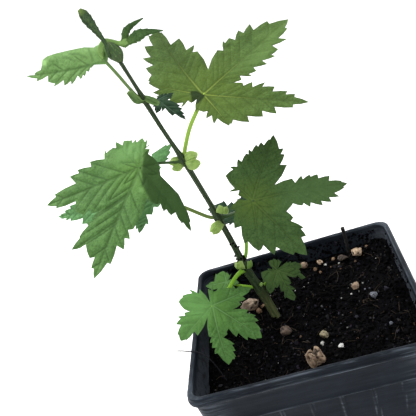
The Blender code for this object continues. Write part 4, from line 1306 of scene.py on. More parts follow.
# Each leaf's tones are painted shade (share above 0) and painted light (below 0) on parts of its blade.
LEAVES = (
    HopLeaf(
        "leaf_lowest_left", (-15.4, 10.3, 4.0), (-27.6, 14.3, 8.2), (-0.1, -0.4, 0.91),
        (-0.6, -0.75, -0.25),
        (Lobe(-125, 9.4, ((231.3, 273.5), (226.7, 272.4)), ((215.8, 273.7),), (223.2, 270.9),
            (214.5, 281.5)),
         Lobe(-62, 9.5, 3, 3), Lobe(0, 10.5), Lobe(55, 9.0), Lobe(104, 6.0, 3, 2, belly=0.25)),
        ((-92, 4.4), (-30, 4.4), (28, 4.4), (80, 3.6)), (165, 1.0),
        ((-18.6, 10.6, 5.3), (-23.0, 12.2, 6.4)), 0.55, FRESH_GREEN, BRIGHT_STALK,
        relief=Relief(0.1, 0.1, 0.04, 0.3, 0.4),
        tones=(PaintedLightAndShade(0.32, 3.0, ((200, 260), (245, 260), (245, 305), (200, 305))),), spacing=0.36, seed=11,
    ),
    HopLeaf(
        "leaf_lowest_right", (-13.6, 10.6, 3.3), (-5.6, 15.4, 6.1), (0.52, -0.49, 0.7),
        (0.26, -0.69, -0.68),
        (Lobe(-165, 6.0, ((281.9, 260.5, 0), (277.9, 259.3), (273.5, 258.5)), 0, (268.8, 261.1),
            (273.0, 267.6)),
         Lobe(-108, 7.2, ((272.5, 267.6), (267.7, 268.4)), ((261.9, 281.1),), (261.2, 272.4),
            (265.9, 281.8)),
         Lobe(-47, 11.6, ((267.0, 290.5),), ((277.5, 287.6),), (270.6, 293.8), (279.9, 283.6)),
         Lobe(0, 14.5, ((281.2, 291.3), (285.2, 298.5)), ((291.4, 282.9), (295.7, 289.1), (296.1, 297.1)),
            (294.5, 300.5), (285.9, 274.9)),
         Lobe(52, 12.4, ((296.1, 277.5), (302.6, 279.8)), ((300.5, 271.6),), (305.5, 277.5),
            (298.6, 268.7)),
         Lobe(90, 11.7, ((301.9, 266.5),), ((287.0, 261.6, 0), (290.6, 260.9), (296.1, 261.6)),
            (300.8, 263.6))),
        ((-137, 3.4), (-80, 4.2), (-26, 5.0), (25, 5.0), (71, 8.6)), (150, 1.0),
        ((-11.0, 11.9, 4.6), (-8.2, 14.2, 5.6)), 0.5, DULL_GREEN, BRIGHT_STALK,
        relief=Relief(0.12, 0.12, 0.05, 0.4, 0.5), tooth=0.42, spacing=0.34, seed=12,
    ),
    HopLeaf(
        "leaf_lower_left", (-17.9, 8.4, 15.0), (-32.2, -5.3, 11.0), (0.52, -0.46, 0.72),
        (0.09, -0.82, -0.57),
        (Lobe(-108, 13.8, ((199.7, 289.3), (189.3, 289.3), (182.3, 295.6)), 0, (178.6, 301.5),
            (190.7, 311.4)),
         Lobe(-54, 20.8, ((184.4, 312.7), (177.0, 316.7), (176.0, 324.2), (177.4, 334.4)),
            ((197.9, 335.4), (186.6, 340.2)), (180.8, 340.8), (207.6, 317.0)),
         Lobe(0, 24.8, ((209.1, 336.4), (210.1, 342.6), (212.4, 347.7), (215.0, 353.8)),
            ((227.4, 334.1), (234.4, 343.9), (235.4, 350.7), (235.9, 356.8), (234.4, 359.2)),
            (228.8, 364.7), (221.3, 321.0)),
         Lobe(47, 22.6, ((226.2, 332.3), (236.4, 336.7), (247.9, 340.2), (256.3, 339.2)),
            ((247.9, 309.6), (255.8, 315.3), (258.6, 320.6), (260.9, 329.3)), (261.9, 337.7),
            (231.8, 309.7)),
         Lobe(107, 20.0, ((241.0, 304.3), (245.6, 298.7), (249.5, 291.3)), ((208.1, 288.8, 0),
            (211.9, 283.4), (230.3, 287.4), (241.5, 284.9)), (251.5, 287.8))),
        ((-80, 9.2), (-27, 8.2), (11, 8.4), (72, 8.6)), (-158, 1.4),
        ((-21.3, 7.5, 13.5), (-24.1, 5.8, 11.6), (-25.6, 4.5, 10.6), (-29.6, 0.3, 9.9)), 0.8,
        FRESH_GREEN, BRIGHT_STALK, relief=Relief(0.14, 0.14, 0.05, 0.5, 0.9),
        tones=(PaintedLightAndShade(-0.7, 6.0, ((178, 285), (206, 283), (212, 304), (206, 318), (190, 312), (172, 300))),
            PaintedLightAndShade(-0.4, 5.0, ((212, 304), (206, 318), (195, 336), (178, 341), (172, 320), (190, 306)))),
        tooth=0.42, spacing=0.4, seed=13,
    ),
    HopLeaf(
        "leaf_lower_right", (-17.2, 9.9, 17.4), (-12.9, 26.5, 30.1), (0.05, -0.3, 0.95), (0.12, 0.95, 0.28),
        (Lobe(-112, 10.0, 3, 3), Lobe(-60, 11.5, 5, 5), Lobe(0, 12.5, 6, 6),
         Lobe(62, 17.0, ((231.6, 201.6), (222.2, 199.3)), 5, (207.4, 209.0)), Lobe(112, 11.0, 3, 3)),
        ((-86, 7.5), (-30, 7.0), (31, 7.0), (88, 8.0)), (180, 1.4),
        ((-14.9, 12.4, 20.4), (-12.6, 17.5, 28.0)), 0.75, SHADE_GREEN, BRIGHT_STALK,
        relief=Relief(0.15, 0.2, 0.05, 0.5, 0.6), spacing=0.5, seed=14,
    ),
    HopLeaf(
        "leaf_middle_left", (-20.6, 9.2, 40.8), (-42.5, 17.0, 52.6), (0.05, -0.66, 0.75),
        (-0.97, 0.17, 0.06),
        (Lobe(-104, 26.0, ((158.0, 174.0, 0), (161.0, 167.0, 0.3), (168.9, 158.2, 0.7),
            (170.6, 151.5, 0.7)), ((151.7, 154.0, 0), (166.1, 144.6, 0)), (172.0, 143.4)),
         Lobe(-56, 27.0, 7, 7),
         Lobe(5, 40.5, 9, ((116.0, 231.0), (97.0, 229.0), (82.0, 224.0), (70.4, 220.9), (65.7, 220.7),
            (61.0, 218.8)), (58.2, 216.7)),
         Lobe(63, 17.5, 4, ((155.8, 206.8, 0.5), (152.0, 214.5, 0.6), (148.6, 224.4)), (139.4, 233.3)),
         Lobe(116, 3.6, 0, 0)),
        ((-81, 14.0), (-27, 13.0), (34, 10.5), (92, 4.0)), (178, 2.2),
        ((-23.8, 9.2, 41.6), (-33.0, 11.6, 48.4)), 0.75, SEA_GREEN, OLIVE_STALK,
        relief=Relief(0.15, 0.2, 0.05, 0.5, 0.9),
        tones=(PaintedLightAndShade(0.5, 5.0, ((136, 180), (166, 180), (160, 215), (138, 238), (128, 210))),), seed=15,
    ),
    HopLeaf(
        "leaf_middle_right", (-19.6, 9.0, 40.0), (-4.3, 1.4, 46.2), (0.24, -0.62, 0.745),
        (0.97, 0.15, -0.18),
        (Lobe(-112, 18.5, ((237.0, 199.0, 0), (229.3, 209.2, 0.15), (234.4, 228.2, 0.6),
            (244.4, 243.2, 0.7)), 1, (258.8, 251.0), (263.5, 245.1)),
         Lobe(-59, 29.3, ((274.6, 254.7), (293.4, 254.7)), ((293.4, 217.4, 0.4), (303.6, 227.3, 0.6),
            (306.1, 235.5, 0.7)), (307.3, 255.0), (286.5, 211.2)),
         Lobe(0, 36.4, ((292.1, 204.9, 0), (302.5, 205.4, 0.4), (310.5, 206.7, 0.8), (322.9, 205.1, 0.8),
            (331.8, 201.6), (339.6, 196.2), (344.3, 187.5)), ((291.9, 178.4, 0.35), (301.3, 175.4),
            (309.5, 174.4), (317.6, 174.1, 0.7), (329.7, 175.6, 0.7), (341.6, 180.6)), (347.3, 183.3),
            (274.6, 184.8)),
         Lobe(62, 30.5, ((287.0, 164.8), (284.7, 154.2), (283.5, 148.2)), ((237.8, 158.8), (246.0, 153.5),
            (248.6, 149.0), (256.1, 144.5), (261.1, 142.0), (268.7, 139.1)), (273.6, 134.7),
            (237.1, 166.5)),
         Lobe(118, 15.0, ((229.9, 166.8),), ((246.0, 199.0, 0), (238.0, 195.0, 0), (228.7, 191.4)),
            (225.5, 175.6, 0.8))),
        ((-95, 18.0), (-31, 13.7), (28, 11.0), (101, 15.2)), (162, 2.0),
        ((-15.6, 8.6, 39.9), (-9.8, 6.4, 41.6)), 0.75, DEEP_GREEN, DARK_STALK,
        relief=Relief(0.13, 0.13, 0.05, 0.6, 1.2),
        tones=(PaintedLightAndShade(-0.45, 8.0, ((280, 180), (330, 170), (350, 185), (330, 205), (285, 212))),), seed=16,
    ),
    HopLeaf(
        "leaf_upper_left", (-24.8, 8.2, 67.0), (-39.1, 0.5, 72.4), (-0.01, -0.57, 0.82),
        (-0.48, -0.72, -0.51),
        (Lobe(-158, 14.0, ((149.7, 148.9), (150.8, 143.4, 1.6), (147.0, 139.5, 1.6)),
            ((135.8, 139.4, 1.6),), (142.3, 137.8, 1.2), (132.5, 143.0)),
         Lobe(-112, 19.5, ((129.6, 137.0, 1.6), (123.6, 140.8, 1.6)), ((105.3, 149.5), (112.7, 147.8)),
            (115.8, 141.8, 1.2), (104.3, 159.0)),
         Lobe(-56, 38.5, ((89.9, 161.7), (77.3, 169.9), (69.6, 176.7), (54.7, 194.5)),
            ((92.1, 213.2), (79.2, 219.3), (74.4, 210.6), (56.0, 208.2)), (46.8, 205.3), (101.1, 209.1)),
         Lobe(0, 44.8, ((93.6, 215.8), (91.9, 218.3), (86.5, 223.4), (79.4, 236.5, 0.4),
            (70.9, 250.7, 0.15), (80.1, 247.8, 0.2), (89.4, 257.9, 0.8), (91.1, 268.3)),
            ((133.0, 229.1), (129.7, 238.8), (123.6, 249.6), (110.3, 264.1)), (94.0, 278.6)),
         Lobe(54, 35.8, ((157.1, 204.2, 0.6), (163.5, 211.2, 0.7), (170.9, 215.1, 0.7),
            (181.2, 222.8, 0.6)), ((170.0, 185.0, 0), (178.5, 193.9, 0), (187.7, 212.3, 0),
            (190.5, 221.0, 0)), (191.0, 231.2, 0.2), (160.5, 175.5)),
         Lobe(108, 17.0, ((159.6, 170.0, 0),), ((147.0, 153.0, 0), (153.0, 157.2, 0)), (158.6, 163.2, 0))),
        ((-135, 13.4), (-92, 18.8), (-26, 20.0), (32, 14.5), (86, 14.0)), (165, 2.4),
        ((-28.4, 7.6, 67.9), (-33.2, 7.0, 69.4), (-37.0, 4.2, 70.9)), 0.55, SPRING_GREEN, DARK_STALK,
        relief=Relief(0.22, 0.32, 0.05, 0.6, 1.2), folds=(Fold((145, 150), (142.5, 200), 0.5),),
        tones=(PaintedLightAndShade(0.85, 0.9, ((146, 150), (160, 160), (163, 174), (180, 190), (191, 210), (195, 236),
            (179, 222), (169, 214), (153, 204), (148, 196), (141.5, 184.6), (142.2, 170), (143, 157))),
            PaintedLightAndShade(-1.0, 1.0, ((139, 187.5), (143.2, 188), (143.5, 191.5), (139.6, 191.8))),
            PaintedLightAndShade(-0.8, 5.0, ((112, 150), (128, 134), (150, 136), (149, 146), (142, 157), (120, 162)))),
        seed=17,
    ),
    HopLeaf(
        "leaf_upper_right", (-24.2, 8.5, 67.8), (-11.1, 23.3, 85.0), (0.19, -0.5, 0.845), (0.75, 0.63, 0.2),
        (Lobe(-112, 20.5, ((195.5, 111.6), (203.3, 111.6), (206.1, 118.2), (213.9, 123.9)), 1,
            (228.8, 125.4, 1.0), (233.0, 119.5)),
         Lobe(-59, 40.4, ((249.4, 121.8), (263.1, 116.3), (276.7, 113.3), (293.0, 107.2)),
            ((242.5, 82.5), (252.4, 81.9), (265.2, 82.1), (274.8, 86.4), (287.2, 91.0), (295.1, 93.9)),
            (308.8, 101.8), (226.4, 83.6)),
         Lobe(0, 52.8, ((241.5, 79.5), (251.6, 75.8), (256.4, 70.6), (267.0, 63.7), (275.2, 55.8),
            (278.1, 49.0), (286.6, 38.8), (287.3, 28.2)), ((217.3, 50.0), (222.7, 40.9), (229.2, 37.9),
            (238.2, 30.2), (249.8, 23.9), (267.0, 20.9)), (288.2, 19.1), (208.2, 69.0)),
         Lobe(66, 44.5, ((197.5, 51.2), (194.2, 44.8), (179.1, 38.1), (161.3, 32.1)),
            ((145.8, 68.2), (142.7, 58.5), (144.3, 46.4), (148.2, 35.5)), (156.9, 30.8), (151.6, 74.8)),
         Lobe(117, 21.0, 1, ((191.2, 102.7), (180.9, 107.6), (166.4, 103.3), (156.1, 96.7), (153.0, 92.4)),
            (148.8, 83.3, 1.0))),
        ((-97, 21.0), (-20, 10.6), (34, 14.3), (100, 24.0)), (168, 3.2),
        ((-22.4, 9.9, 71.6), (-18.2, 14.6, 77.8)), 0.8, OLIVE_GREEN, LIME_STALK,
        relief=Relief(0.12, 0.12, 0.04, 0.6, 1.4),
        tones=(PaintedLightAndShade(1.5, 1.0, ((190.5, 91.5), (196, 91), (205, 95.5), (203, 98), (198, 103), (193, 105),
            (192, 99))), PaintedLightAndShade(-0.5, 9.0, ((236, 70), (262, 34), (292, 16), (292, 42), (262, 74))),
            PaintedLightAndShade(0.3, 8.0, ((146, 34), (166, 30), (198, 60), (190, 74), (160, 60)))), seed=18,
    ),
    HopLeaf(
        "leaf_top_left", (-30.3, 7.0, 93.9), (-37.2, 5.5, 111.3), (0.05, -0.8, 0.6), (-0.99, 0.04, 0.14),
        (Lobe(-100, 7.0, 0, 0, (102.5, 45.0), (94.0, 47.4)),
         Lobe(0, 29.7, ((84.0, 47.2, 0), (70.0, 50.0, 0), (55.0, 53.6, 0), (47.0, 56.3, 0), (42.4, 60.0, 0),
            (42.0, 64.5, 0), (41.0, 69.0, 0), (35.0, 73.0, 0.2)), ((94.0, 64.6, 0), (91.2, 67.6, 0),
            (88.4, 71.6, 0.4), (84.6, 76.0), (80.7, 79.1), (71.5, 84.5), (64.4, 85.5), (53.4, 86.4),
            (48.1, 81.6), (36.8, 81.1)), (26.6, 76.3))),
        ((-75, 8.5),), (100, 0.9),
        ((-32.2, 6.4, 97.4), (-35.3, 5.9, 106.2)), 0.6, PALE_GREEN, FRESH_STALK,
        relief=Relief(0.22, 0.3, 0.06, 0.3, 0.5), folds=(Fold((46, 58.8), (100, 48.6), 1.3),),
        tones=(PaintedLightAndShade(-1.0, 0.6, ((42, 60), (46.5, 60.5), (46.5, 65.5), (42, 65))),
            PaintedLightAndShade(0.55, 0.8, ((68, 53), (78, 53), (88, 57.5), (87, 59), (78, 55), (69, 54.4))),
            PaintedLightAndShade(0.55, 0.8, ((87.4, 48), (89, 48), (94, 61), (92.4, 61))), PaintedLightAndShade(0.5, 0.8,
            ((62, 56), (70, 57.5), (76, 61), (75, 62), (69, 59), (62, 57.4)))),
        spacing=0.38, seed=19,
    ),
    HopLeaf(
        "leaf_top_right", (-29.6, 7.5, 94.1), (-25.6, 9.6, 91.8), (0.3, -0.6, 0.74), (0.72, -0.35, -0.6),
        (Lobe(-64, 6.0, 2, 2), Lobe(0, 12.0, ((162.1, 111.2), (172.4, 115.5)), 4, (186.0, 119.7)),
         Lobe(62, 6.5, 3, 3)),
        ((-34, 3.4), (33, 3.4)), (180, 0.8),
        ((-27.6, 8.4, 93.6), (-26.6, 9.0, 92.8)), 0.4, SHADE_GREEN, DARK_STALK,
        relief=Relief(0.3, 0.7, 0.1, 0.9, 0.5), folds=(Fold((157, 104), (186, 119.7), 0.9),),
        tones=(PaintedLightAndShade(-1.5, 0.6, ((158, 104), (163, 102.5), (163, 106), (160, 107))),), spacing=0.28, seed=20,
    ),
)


# --- stem


@dataclass
class Bine:
    """The climbing stem, ribbed and hairy, thicker at its joints, from the soil to the bud."""

    points: tuple[tuple[float, float, float, float], ...] = (
        (-10.9, 10.9, -26.0, 1.9), (-12.1, 10.7, -13.0, 1.95), (-13.4, 10.4, -3.5, 1.8),
        (-14.4, 10.3, 2.8, 2.15), (-15.7, 10.0, 8.1, 1.65), (-17.0, 9.8, 14.0, 1.8),
        (-17.5, 9.7, 16.2, 2.25), (-17.7, 9.7, 20.5, 1.35), (-18.9, 9.4, 31.0, 1.22),
        (-19.9, 9.2, 38.0, 1.3), (-20.2, 9.2, 40.3, 1.85), (-20.9, 9.0, 45.5, 1.05),
        (-22.4, 8.7, 54.5, 0.98), (-24.1, 8.4, 64.5, 1.1), (-24.6, 8.3, 67.3, 1.5),
        (-25.8, 8.1, 72.5, 0.88), (-28.0, 7.7, 83.0, 0.82), (-29.6, 7.3, 92.0, 0.9),
        (-29.9, 7.3, 93.8, 1.2), (-30.6, 7.2, 98.0, 0.7), (-31.8, 7.0, 104.5, 0.62),
        (-32.8, 7.2, 109.4, 0.7),
    )
    steps: int = 9
    sides: int = 36
    ribs: int = 6
    rib_depth: float = 0.075
    twist: float = 0.022  # radians a millimetre
    hairs: int = 1500
    hair_length: float = 0.42
    hair_radius: float = 0.045
    hair_tint: Colour = (0.2, 0.3, 0.12)
    crumbs: int = 26
    crumb_heights: tuple[float, float] = (18.2, 21.6)
    high_crumbs: int = 4
    high_crumb_heights: tuple[float, float] = (25.0, 28.5)
    crumb_tint: Colour = (0.006, 0.005, 0.005)
    pale_up_to: float = -5.0  # the buried foot is pale up to here, and fades over the next stretch
    pale_fade: float = 10.0
    finish: StalkFinish = StalkFinish(
        (0.125, 0.14, 0.058), (0.018, 0.033, 0.014), (0.046, 0.072, 0.029), 0.4,
    )

    def path(self) -> tuple[np.ndarray, np.ndarray]:
        """Return the middle line and the radius along it."""
        whole = smooth_path(np.array(self.points), self.steps)
        return whole[:, :3], whole[:, 3]

    def build_stem(self) -> None:
        """Build the ribbed stem."""
        path, radius = self.path()
        rings = len(path)
        flat = tube_spots(path, self.sides)
        angle = 2 * np.pi * np.arange(self.sides) / self.sides
        phase = self.ribs * angle[None] + self.twist * self.ribs * flat[::self.sides, 2:]
        rib = 0.5 + 0.5 * np.cos(phase)
        spots = np.column_stack([flat[:, 2] / 3, np.tile(angle, rings)])
        grain = field_noise(spots, 0.9, 4.0).reshape(rings, self.sides)
        reach = radius[:, None] * (1 + self.rib_depth * (rib**1.5 - 0.4) * 2 + 0.03 * grain)
        share = np.clip((path[:, 2] - self.pale_up_to) / self.pale_fade, 0, 1)
        draft = Draft("stem_bine")
        draft.add(tube_points(path, reach, (1, 0, 0)), tube_faces(rings, self.sides),
                  along=np.repeat(share, self.sides), ridge=rib.ravel(), flat=flat)
        seat(draft.finish(self.finish.material("stem_green"), 70.0), Slot.STEM, "stem")

    def build_hairs(self) -> None:
        """Build the short stiff hairs that stand out round the stem."""
        rng = np.random.default_rng(41)
        path, radius = self.path()
        wide, thin = tube_frames(path, (1, 0, 0))
        draft = Draft("stem_hairs")
        faces = [(0, 1, 3), (1, 2, 3), (2, 0, 3), (2, 1, 0)]
        for _ in range(self.hairs):
            k = rng.integers(self.steps * 2, len(path) - 2)
            angle = rng.uniform(0, 2 * np.pi)
            out = wide[k] * math.cos(angle) + thin[k] * math.sin(angle)
            along = unit(path[k + 1] - path[k])
            foot = path[k] + along * rng.uniform(-0.6, 0.6) + out * radius[k] * 0.97
            around = np.cross(along, out)
            size = self.hair_radius
            tip = foot + (out + along * rng.uniform(-0.7, 0.1)) * self.hair_length * rng.uniform(0.5, 1.1)
            base = [foot + along * size, foot - along * size * 0.5 + around * size,
                    foot - along * size * 0.5 - around * size]
            draft.add(np.array([*base, tip]), faces, tint=self.hair_tint)
        seat(draft.finish(GrainFinish(0.6).material("stem_hair_pale")), Slot.STEM)

    def build_crumbs(self) -> None:
        """Build the crumbs of soil caught on the stem above its second joint."""
        rng = np.random.default_rng(42)
        path, radius = self.path()
        wide, thin = tube_frames(path, (1, 0, 0))
        draft = Draft("stem_crumbs")
        for k in range(self.crumbs):
            up = rng.uniform(*(self.high_crumb_heights if k < self.high_crumbs else self.crumb_heights))
            at = int(np.argmin(np.abs(path[:, 2] - up)))
            angle = rng.uniform(-0.2, 1.2) * np.pi
            out = wide[at] * math.cos(angle) - thin[at] * abs(math.sin(angle))
            size = rng.uniform(0.35, 1.15, 3)
            points, faces = lump(size, 0.6, k * 3.1, 2)
            spot = path[at] + out * (radius[at] + size.mean() * 0.3) + (0, 0, rng.uniform(-0.4, 0.4))
            draft.add(spin(points, rng.uniform(0, 6, 3)) + spot, faces, tint=self.crumb_tint)
        seat(draft.finish(GrainFinish(0.85).material("stem_crumb_black")), Slot.SOIL)

    def build(self) -> None:
        """Build the stem with its hairs and crumbs."""
        self.build_stem()
        self.build_hairs()
        self.build_crumbs()


# --- scales and tip


@dataclass
class Stipule:
    """A pale cupped scale at a joint, with a notched tip and fine veins along it."""

    ROWS = 17
    COLUMNS = 17
    THICKNESS = 0.22
    LIFT = 0.25
    ROOT_DIP = 1.1  # how far the foot bends in to the stem, in millimetres
    ROOT_REACH = 0.12  # how much of the length bends in

    name: str
    foot: Place
    axis: Place
    outward: Place
    length: float
    width: float
    finish: ScaleFinish
    cup: float = 0.35
    notch: float = 0.16
    seed: float = 1.0

    def build(self) -> None:
        """Build the scale in place of the part's own."""
        axis = unit(self.axis)
        outward = np.asarray(self.outward, float)
        outward = unit(outward - axis * (outward @ axis))
        across = np.cross(axis, outward)
        u, t = np.meshgrid(np.linspace(-1, 1, self.COLUMNS), np.linspace(0, 1, self.ROWS))
        half = self.width / 2 * (0.35 + 0.65 * np.sin(np.pi * (0.12 + 0.62 * t)))
        corner = 1 - 0.22 * np.abs(u)**3 * t**4
        notch = self.notch * self.length * np.exp(-(np.abs(u) / 0.28)**1.4) * t**3
        reach = self.length * t * (1 - 0.18 * u**2) - notch
        bulge = np.sin(np.pi * t * 0.8) - 0.8 * u**2 * (0.4 + 0.6 * t)
        ribs = 0.035 * self.width * np.cos(7 * np.pi * u) * (1 - u**2)
        wave = field_noise(np.column_stack([t.ravel() * 3, u.ravel() * 2]), 1.1, self.seed)
        wave = wave.reshape(t.shape) * 0.1 * self.width
        dip = self.ROOT_DIP * np.exp(-(t / self.ROOT_REACH)**2)
        swell = self.cup * self.width * bulge + ribs + wave + self.LIFT - dip
        sheet = (np.asarray(self.foot) + axis * reach[..., None]
                 + across * (half * u * corner)[..., None] + outward * swell[..., None])
        points, faces = shell(sheet, self.THICKNESS)
        edge = np.maximum(np.abs(u), t)**3
        flat = np.column_stack([reach.ravel(), (half * u).ravel(), np.zeros(reach.size)])
        draft = Draft(f"{self.name}_scale")
        draft.add(points, faces, edge=np.tile(edge.ravel(), 2), flat=np.tile(flat, (2, 1)) + self.seed * 7)
        seat(draft.finish(self.finish.material(f"{self.name}_pale"), 60.0), Slot.STIPULE, self.name)


PALE_SCALE = ScaleFinish((0.31, 0.46, 0.12), (0.42, 0.56, 0.2), (0.2, 0.3, 0.08))
LOWER_SCALE = ScaleFinish((0.16, 0.3, 0.06), (0.26, 0.43, 0.11), (0.09, 0.18, 0.04), 0.2)
GREEN_SCALE = ScaleFinish((0.085, 0.16, 0.045), (0.17, 0.28, 0.085), (0.045, 0.09, 0.028), 0.1)
STIPULES = (
    Stipule("stipule_lower_left", (-18.4, 7.95, 15.2), (0.02, -0.05, 1.0), (-0.35, -0.92, 0.1), 5.4, 4.2,
            PALE_SCALE, seed=1.0),
    Stipule("stipule_lower_right", (-15.6, 8.6, 14.4), (0.28, -0.1, 1.0), (0.55, -0.8, 0.0), 4.8, 2.6,
            LOWER_SCALE, seed=2.0),
    Stipule("stipule_middle_left", (-19.4, 6.1, 38.9), (-0.85, -0.05, -0.5), (-0.3, -0.9, 0.2), 5.6, 4.6,
            PALE_SCALE, seed=3.0),
    Stipule("stipule_middle_right", (-18.2, 6.9, 42.0), (0.5, 0.00, 0.86), (0.25, -0.95, 0.15), 4.4, 5.0,
            PALE_SCALE, seed=4.0),
    Stipule("stipule_upper_left", (-25.4, 8.7, 66.9), (-0.95, 0.2, -0.22), (0.1, -0.95, 0.3), 5.4, 6.0,
            PALE_SCALE, 0.2, 0.34, seed=5.0),
    Stipule("stipule_upper_right", (-24.0, 6.2, 66.9), (0.98, -0.05, 0.02), (0.05, -0.95, 0.3), 6.4, 7.4,
            PALE_SCALE, notch=0.24, seed=6.0),
    Stipule("stipule_top_left", (-30.6, 6.1, 92.9), (-0.44, -0.05, 0.9), (-0.45, -0.88, -0.1), 7.2, 3.6,
            GREEN_SCALE, 0.3, 0.05, seed=7.0),
    Stipule("stipule_top_right", (-29.2, 6.2, 95.0), (0.72, -0.05, -0.69), (0.15, -0.95, 0.3), 6.0, 2.6,
            GREEN_SCALE, 0.3, 0.05, seed=8.0),
)


@dataclass
class Bud:
    """A bud: a lumpy core under overlapping scales, and a pale collar where leaves leave it."""

    SIDES = 24
    STEPS = 8

    name: str
    path: tuple[Place, ...]
    half_widths: tuple[float, ...]
    flat: float
    finish: ScaleFinish
    scales: int = 4
    seed: float = 3.0
    collar: tuple[tuple[float, float, float, float], ...] = ()

    def build(self) -> None:
        """Build the bud in place of the part's own."""
        path = smooth_path(np.array(self.path), self.STEPS)
        width = smooth_path(np.array(self.half_widths)[:, None], self.STEPS)[:, 0]
        angle = 2 * np.pi * np.arange(self.SIDES) / self.SIDES
        share = np.linspace(0, 1, len(path))
        lap = np.cos(self.scales * angle[None] + 5.0 * share[:, None])
        reach = width[:, None] * (1 + 0.1 * np.abs(lap) * np.sin(np.pi * share)[:, None])
        rings = len(path)
        draft = Draft(f"{self.name}_scales")
        draft.add(
            tube_points(path, reach, (1, 0, 0), self.flat), tube_faces(rings, self.SIDES),
            edge=np.clip(1 - np.abs(lap) * 2.2, 0, 1).ravel(),
            flat=np.column_stack([np.repeat(share * 6, self.SIDES), np.tile(angle * 1.5, rings),
                                  np.full(rings * self.SIDES, self.seed)]),
        )
        if self.collar:
            band = smooth_path(np.array(self.collar), self.STEPS)
            radius = np.repeat(band[:, 3:], self.SIDES, axis=1) * (1 + 0.12 * np.cos(3 * angle))
            spots = tube_points(band[:, :3], radius, (0, 0, 1), 0.8)
            draft.add(spots, tube_faces(len(band), self.SIDES), edge=1.0, flat=spots)
        seat(draft.finish(self.finish.material(f"{self.name}_green"), 60.0), Slot.BUD, self.name)


@dataclass
class FoldedLeaf:
    """A young leaf still folded along its main vein, with small teeth on its open edges."""

    STEPS = 10
    COLUMNS = 13
    THICKNESS = 0.22

    name: str
    path: tuple[Place, ...]
    half_widths: tuple[float, ...]
    side: Place
    open_depth: float
    teeth: int
    finish: BladeFinish
    seed: int = 5
    light_tip: bool = False

    def build(self) -> None:
        """Build the leaf in place of the part's own."""
        path = smooth_path(np.array(self.path), self.STEPS)
        width = np.maximum(smooth_path(np.array(self.half_widths)[:, None], self.STEPS)[:, 0], 0.12)
        wide, thin = tube_frames(path, self.side)
        share = np.linspace(0, 1, len(path))
        saw = (share * self.teeth) % 1.0
        tooth = 1 + 0.24 * (saw - 0.5) * np.sin(np.pi * share)
        u = np.linspace(-1, 1, self.COLUMNS)
        across = (np.abs(u) * 2 - 1)[None, :, None]
        reach = wide[:, None] * across * (width * np.where(share < 0.05, 1, tooth))[:, None, None]
        pleat = 0.1 * np.cos(share * self.teeth * 2 * np.pi)[:, None, None] * np.abs(u)[None, :, None]
        gape = np.sign(u)[None, :, None] * np.abs(u)[None, :, None]**0.7 * self.open_depth
        away = thin[:, None] * (gape + pleat * np.sign(u)[None, :, None]) * width[:, None, None]
        sheet = path[:, None] + reach + away
        points, faces = shell(sheet, self.THICKNESS)
        rows = len(path)
        spot = np.column_stack([np.repeat(share * 20, self.COLUMNS), np.tile(u * 4, rows),
                                np.zeros(rows * self.COLUMNS)])
        draft = Draft(f"{self.name}_blade")
        draft.add(
            points, faces, flat=np.tile(spot, (2, 1)) + self.seed * 5.0,
            trunk=np.tile(np.tile(np.abs(u) * 10, rows), 2), branch=HopLeaf.VEIN_CAP,
            hub=np.tile(np.repeat((1 - share if self.light_tip else share) * 20, self.COLUMNS), 2),
            rim=np.tile(np.tile(1.5 * (1 - np.abs(u)), rows), 2), tone=0.0, under=0.0,
        )
        seat(draft.finish(self.finish.material(f"{self.name}_green"), 60.0), Slot.YOUNG_LEAF, self.name)


BUD_GREEN = ScaleFinish((0.046, 0.084, 0.032), (0.19, 0.33, 0.09), (0.05, 0.05, 0.024), 0.05)
SMALL_BUD = ScaleFinish((0.26, 0.42, 0.11), (0.34, 0.5, 0.16), (0.14, 0.23, 0.06), 0.2)
BUDS = (
    Bud("bud_lowest", ((-13.5, 8.4, 5.3), (-13.1, 8.2, 6.2), (-12.6, 8.0, 7.0)), (0.4, 0.75, 0.25), 0.9,
        SMALL_BUD, 3, 1.0),
    Bud("tip_bud",
        ((-32.6, 7.5, 109.0), (-33.0, 7.5, 111.4), (-33.6, 7.5, 113.4), (-34.0, 7.6, 115.6),
         (-34.1, 7.6, 116.9)),
        (0.8, 2.3, 2.5, 1.7, 0.5), 0.8, BUD_GREEN,
        collar=((-38.0, 6.6, 112.4, 0.7), (-37.8, 7.2, 115.2, 1.2), (-35.6, 8.2, 117.3, 1.1),
                (-33.2, 8.6, 116.6, 0.8), (-31.0, 8.4, 115.2, 0.9), (-29.0, 8.0, 115.0, 1.2),
                (-27.6, 7.6, 115.2, 0.9))),
)
TIP_DARK = BladeFinish((0.05, 0.092, 0.046), (0.03, 0.058, 0.03), (0.2, 0.3, 0.07),
                       (0.08, 0.14, 0.05), heart_reach=3.5, heart_share=1.0, through=0.1)
TIP_GREEN = BladeFinish((0.07, 0.14, 0.045), (0.042, 0.092, 0.032), (0.15, 0.27, 0.07),
                        (0.15, 0.26, 0.08), through=0.15, heart_reach=9.0)
